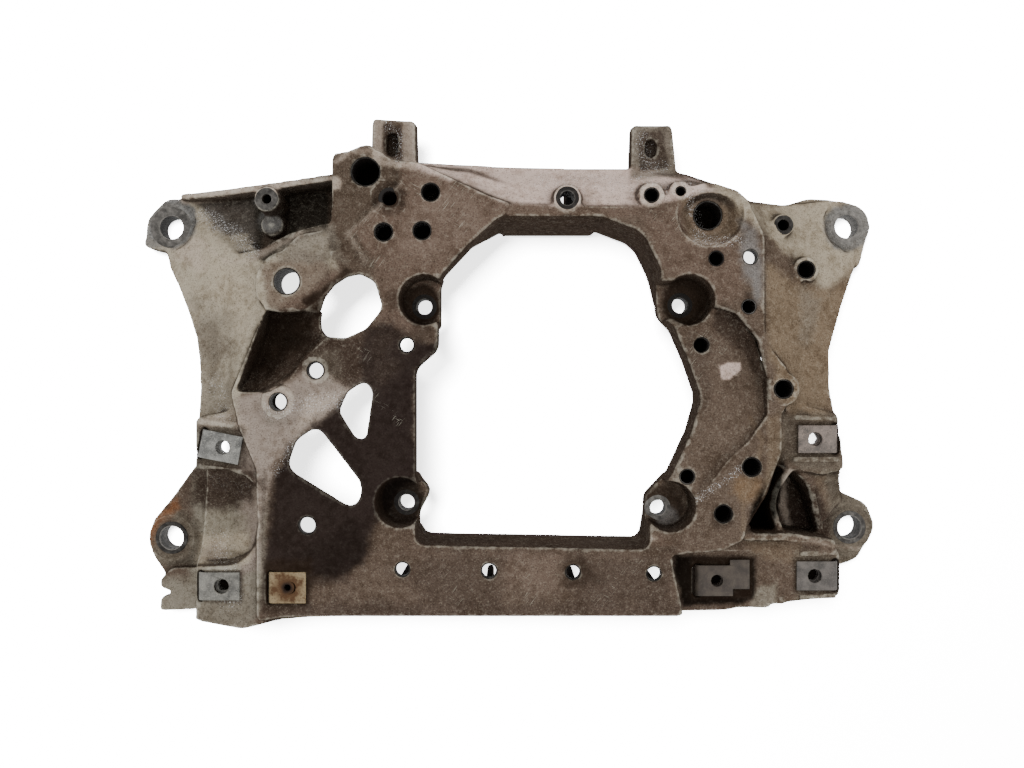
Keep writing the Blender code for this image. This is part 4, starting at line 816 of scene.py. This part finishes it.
def solid_piece(name, points, faces, material):
    """Mesh piece of these points and faces, merged where rings close to a point, facing outwards."""
    mesh = bpy.data.meshes.new(name)
    mesh.from_pydata(points.tolist(), [], faces.tolist())
    work = bmesh.new()
    work.from_mesh(mesh)
    bmesh.ops.remove_doubles(work, verts=work.verts, dist=1e-6)
    bmesh.ops.dissolve_degenerate(work, edges=work.edges, dist=1e-7)
    bmesh.ops.recalc_face_normals(work, faces=work.faces)
    work.to_mesh(mesh)
    work.free()
    mesh.shade_smooth()
    mesh.set_sharp_from_angle(angle=0.6)
    mesh.materials.append(material)
    piece = bpy.data.objects.new(name, mesh)
    bpy.context.scene.collection.objects.link(piece)
    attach(piece, "root")
    return piece


def add_fillets(mesh):
    """Join the fillets to the casting's copy as closed solids; the remesh makes one surface of them."""
    places = [(x + LAYOUT[0], y + LAYOUT[1], math.radians(turned)) for x, y, turned, *_ in FILLETS]
    profiles = [[(0, high), (0.8, high), (1, high - 1), (1, low), (0, low)] for *_, low, high in FILLETS]
    stretch = [(across, along, 0.3) for _, _, _, across, along, _, _ in FILLETS]
    points, faces = round_solid(places, profiles, stretch)
    work = bmesh.new()
    work.from_mesh(mesh)
    extra = bpy.data.meshes.new("fillets")
    extra.from_pydata(points.tolist(), [], faces.tolist())
    work.from_mesh(extra)
    bmesh.ops.remove_doubles(work, verts=work.verts, dist=1e-6)
    bmesh.ops.dissolve_degenerate(work, edges=work.edges, dist=1e-7)
    work.to_mesh(mesh)
    work.free()
    bpy.data.meshes.remove(extra)


def dark_fill():
    """Dark pads beside each clip's fold and down the blocked bores, flat with rounded rims."""
    places, profiles, stretch = [], [], []
    for x, y, turned, face, half in FOLDS:
        places.append((x + LAYOUT[0], y + LAYOUT[1], math.radians(turned)))
        profiles.append([(0, face - 1.6), (0.8, face - 1.6), (1, face - 2.2), (1, face - 3.2),
                         (0, face - 3.2)])
        stretch.append((FOLD_REACH, half, 0.3))
    for x, y, radius, level in BLOCKED:
        places.append((x + LAYOUT[0], y + LAYOUT[1], 0.0))
        profiles.append([(0, level - 0.4), (0.8, level), (1, level - 0.3), (1, level - 1.5),
                         (0, level - 1.5)])
        stretch.append((radius, radius, 1.0))
    paint = Paint("dark_fill", roughness=0.9, gloss=0.1)
    blotches = paint.noise(paint.coords(), 420.0, 4.0, 0.6)
    paint.link("Base Color", paint.mix(blotches, tuple(linear((14, 10, 7))), tuple(linear((44, 34, 27)))))
    paint.link("Normal", paint.bump(blotches, 0.0006))
    points, faces = round_solid(places, profiles, stretch)
    return solid_piece("dark_fill", points, faces, paint.material)


def rust_crust(name, centre, top):
    """Rusted thread in the inner left clip: a thick ring under its top leaf."""
    profile = [(2.3, top - 6), (2.3, top - 0.7), (2.9, top - 0.15), (4.2, top - 0.1), (4.9, top - 0.6),
               (4.9, top - 6)]
    points, faces = round_solid([(*(c / MM for c in centre), 0.0)], [profile], [(1, 1, 1.0)])
    return solid_piece(name, points, faces, rust_material(centre))


def clip_nuts():
    """The six clip nuts: copies of their CAD nodes with rounded edges, in zinc or rust."""
    pieces = []
    for name in [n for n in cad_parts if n.startswith("clip_nut")]:
        piece = merged_copy(name, name.replace("clip_nut", "zinc_clip"))
        bevel = piece.modifiers.new("edges", "BEVEL")
        bevel.width = CLIP_EDGE * MM
        bevel.segments = 3
        bevel.angle_limit = 0.6
        applied(piece)
        piece.data.shade_smooth()
        piece.data.set_sharp_from_angle(angle=0.9)
        key = name.removeprefix("clip_nut_")
        low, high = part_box(name)
        centre = ((low[0] + high[0]) / 2 + 0.0003, (low[1] + high[1]) / 2)
        piece.data.materials.append(zinc_material("zinc_" + key, CLIP_TONES[key]) if key in CLIP_TONES
                                    else rust_material(centre))
        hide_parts(name)
        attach(piece, "root")
        pieces.append(piece)
        if key not in CLIP_TONES:
            pieces.append(rust_crust("rusted_thread", centre, high[2] / MM))
    return pieces


def camera():
    """Camera straight above, at the photograph's distance."""
    lens = bpy.data.cameras.new("camera")
    lens.sensor_width = SENSOR_WIDTH
    lens.lens = FOCAL_PIXELS / FRAME_WIDTH * SENSOR_WIDTH
    item = bpy.data.objects.new("camera", lens)
    item.location = [c * MM for c in CAMERA_PLACE]
    bpy.context.scene.collection.objects.link(item)
    bpy.context.scene.camera = item


def area_light(name, place, aim, size, power, lit):
    """Square soft light that points at a spot and lights only the pieces named."""
    light = bpy.data.lights.new(name, "AREA")
    light.size = size
    light.energy = power
    item = bpy.data.objects.new(name, light)
    item.location = place
    x, y, z = (a - p for a, p in zip(aim, place))
    item.rotation_euler = (math.atan2(math.hypot(x, y), -z), 0.0, math.atan2(x, -y))
    bpy.context.scene.collection.objects.link(item)
    group = bpy.data.collections.new(name + "_lit")
    for piece in lit:
        group.objects.link(piece)
    item.light_linking.receiver_collection = group


def stage(pieces):
    """Pale floor, a bright lamp for it, and softer light on the bracket from the upper left."""
    mesh = bpy.data.meshes.new("floor")
    corners = [(i * FLOOR_HALF, j * FLOOR_HALF, 0) for i, j in ((-1, -1), (1, -1), (1, 1), (-1, 1))]
    mesh.from_pydata(corners, [], [(0, 1, 2, 3)])
    floor = bpy.data.objects.new("floor", mesh)
    bpy.context.scene.collection.objects.link(floor)
    floor.location.z = -FLOOR_DROP
    floor.visible_diffuse = False
    floor.visible_glossy = False
    paint = Paint("floor_paper", roughness=0.9, gloss=0.0)
    paint.shader.inputs["Base Color"].default_value = FLOOR_WHITE
    paint.shader.inputs["Emission Color"].default_value = (1.0, 1.0, 1.0, 1.0)
    paint.shader.inputs["Emission Strength"].default_value = FLOOR_GLOW
    floor.data.materials.append(paint.material)
    for name, (place, size, power) in LAMPS.items():
        area_light(name, place, (0, 0, 0), size, power, [floor] if name.startswith("floor") else pieces)
    world = bpy.data.worlds.new("sky")
    bpy.context.scene.world = world
    world.use_nodes = True
    world.node_tree.nodes["Background"].inputs[0].default_value = (1.0, 1.0, 1.0, 1.0)
    world.node_tree.nodes["Background"].inputs[1].default_value = SKY_LEVEL


camera()
cast = casting()
stage([cast, bore_faces(cast), dark_fill()] + clip_nuts())
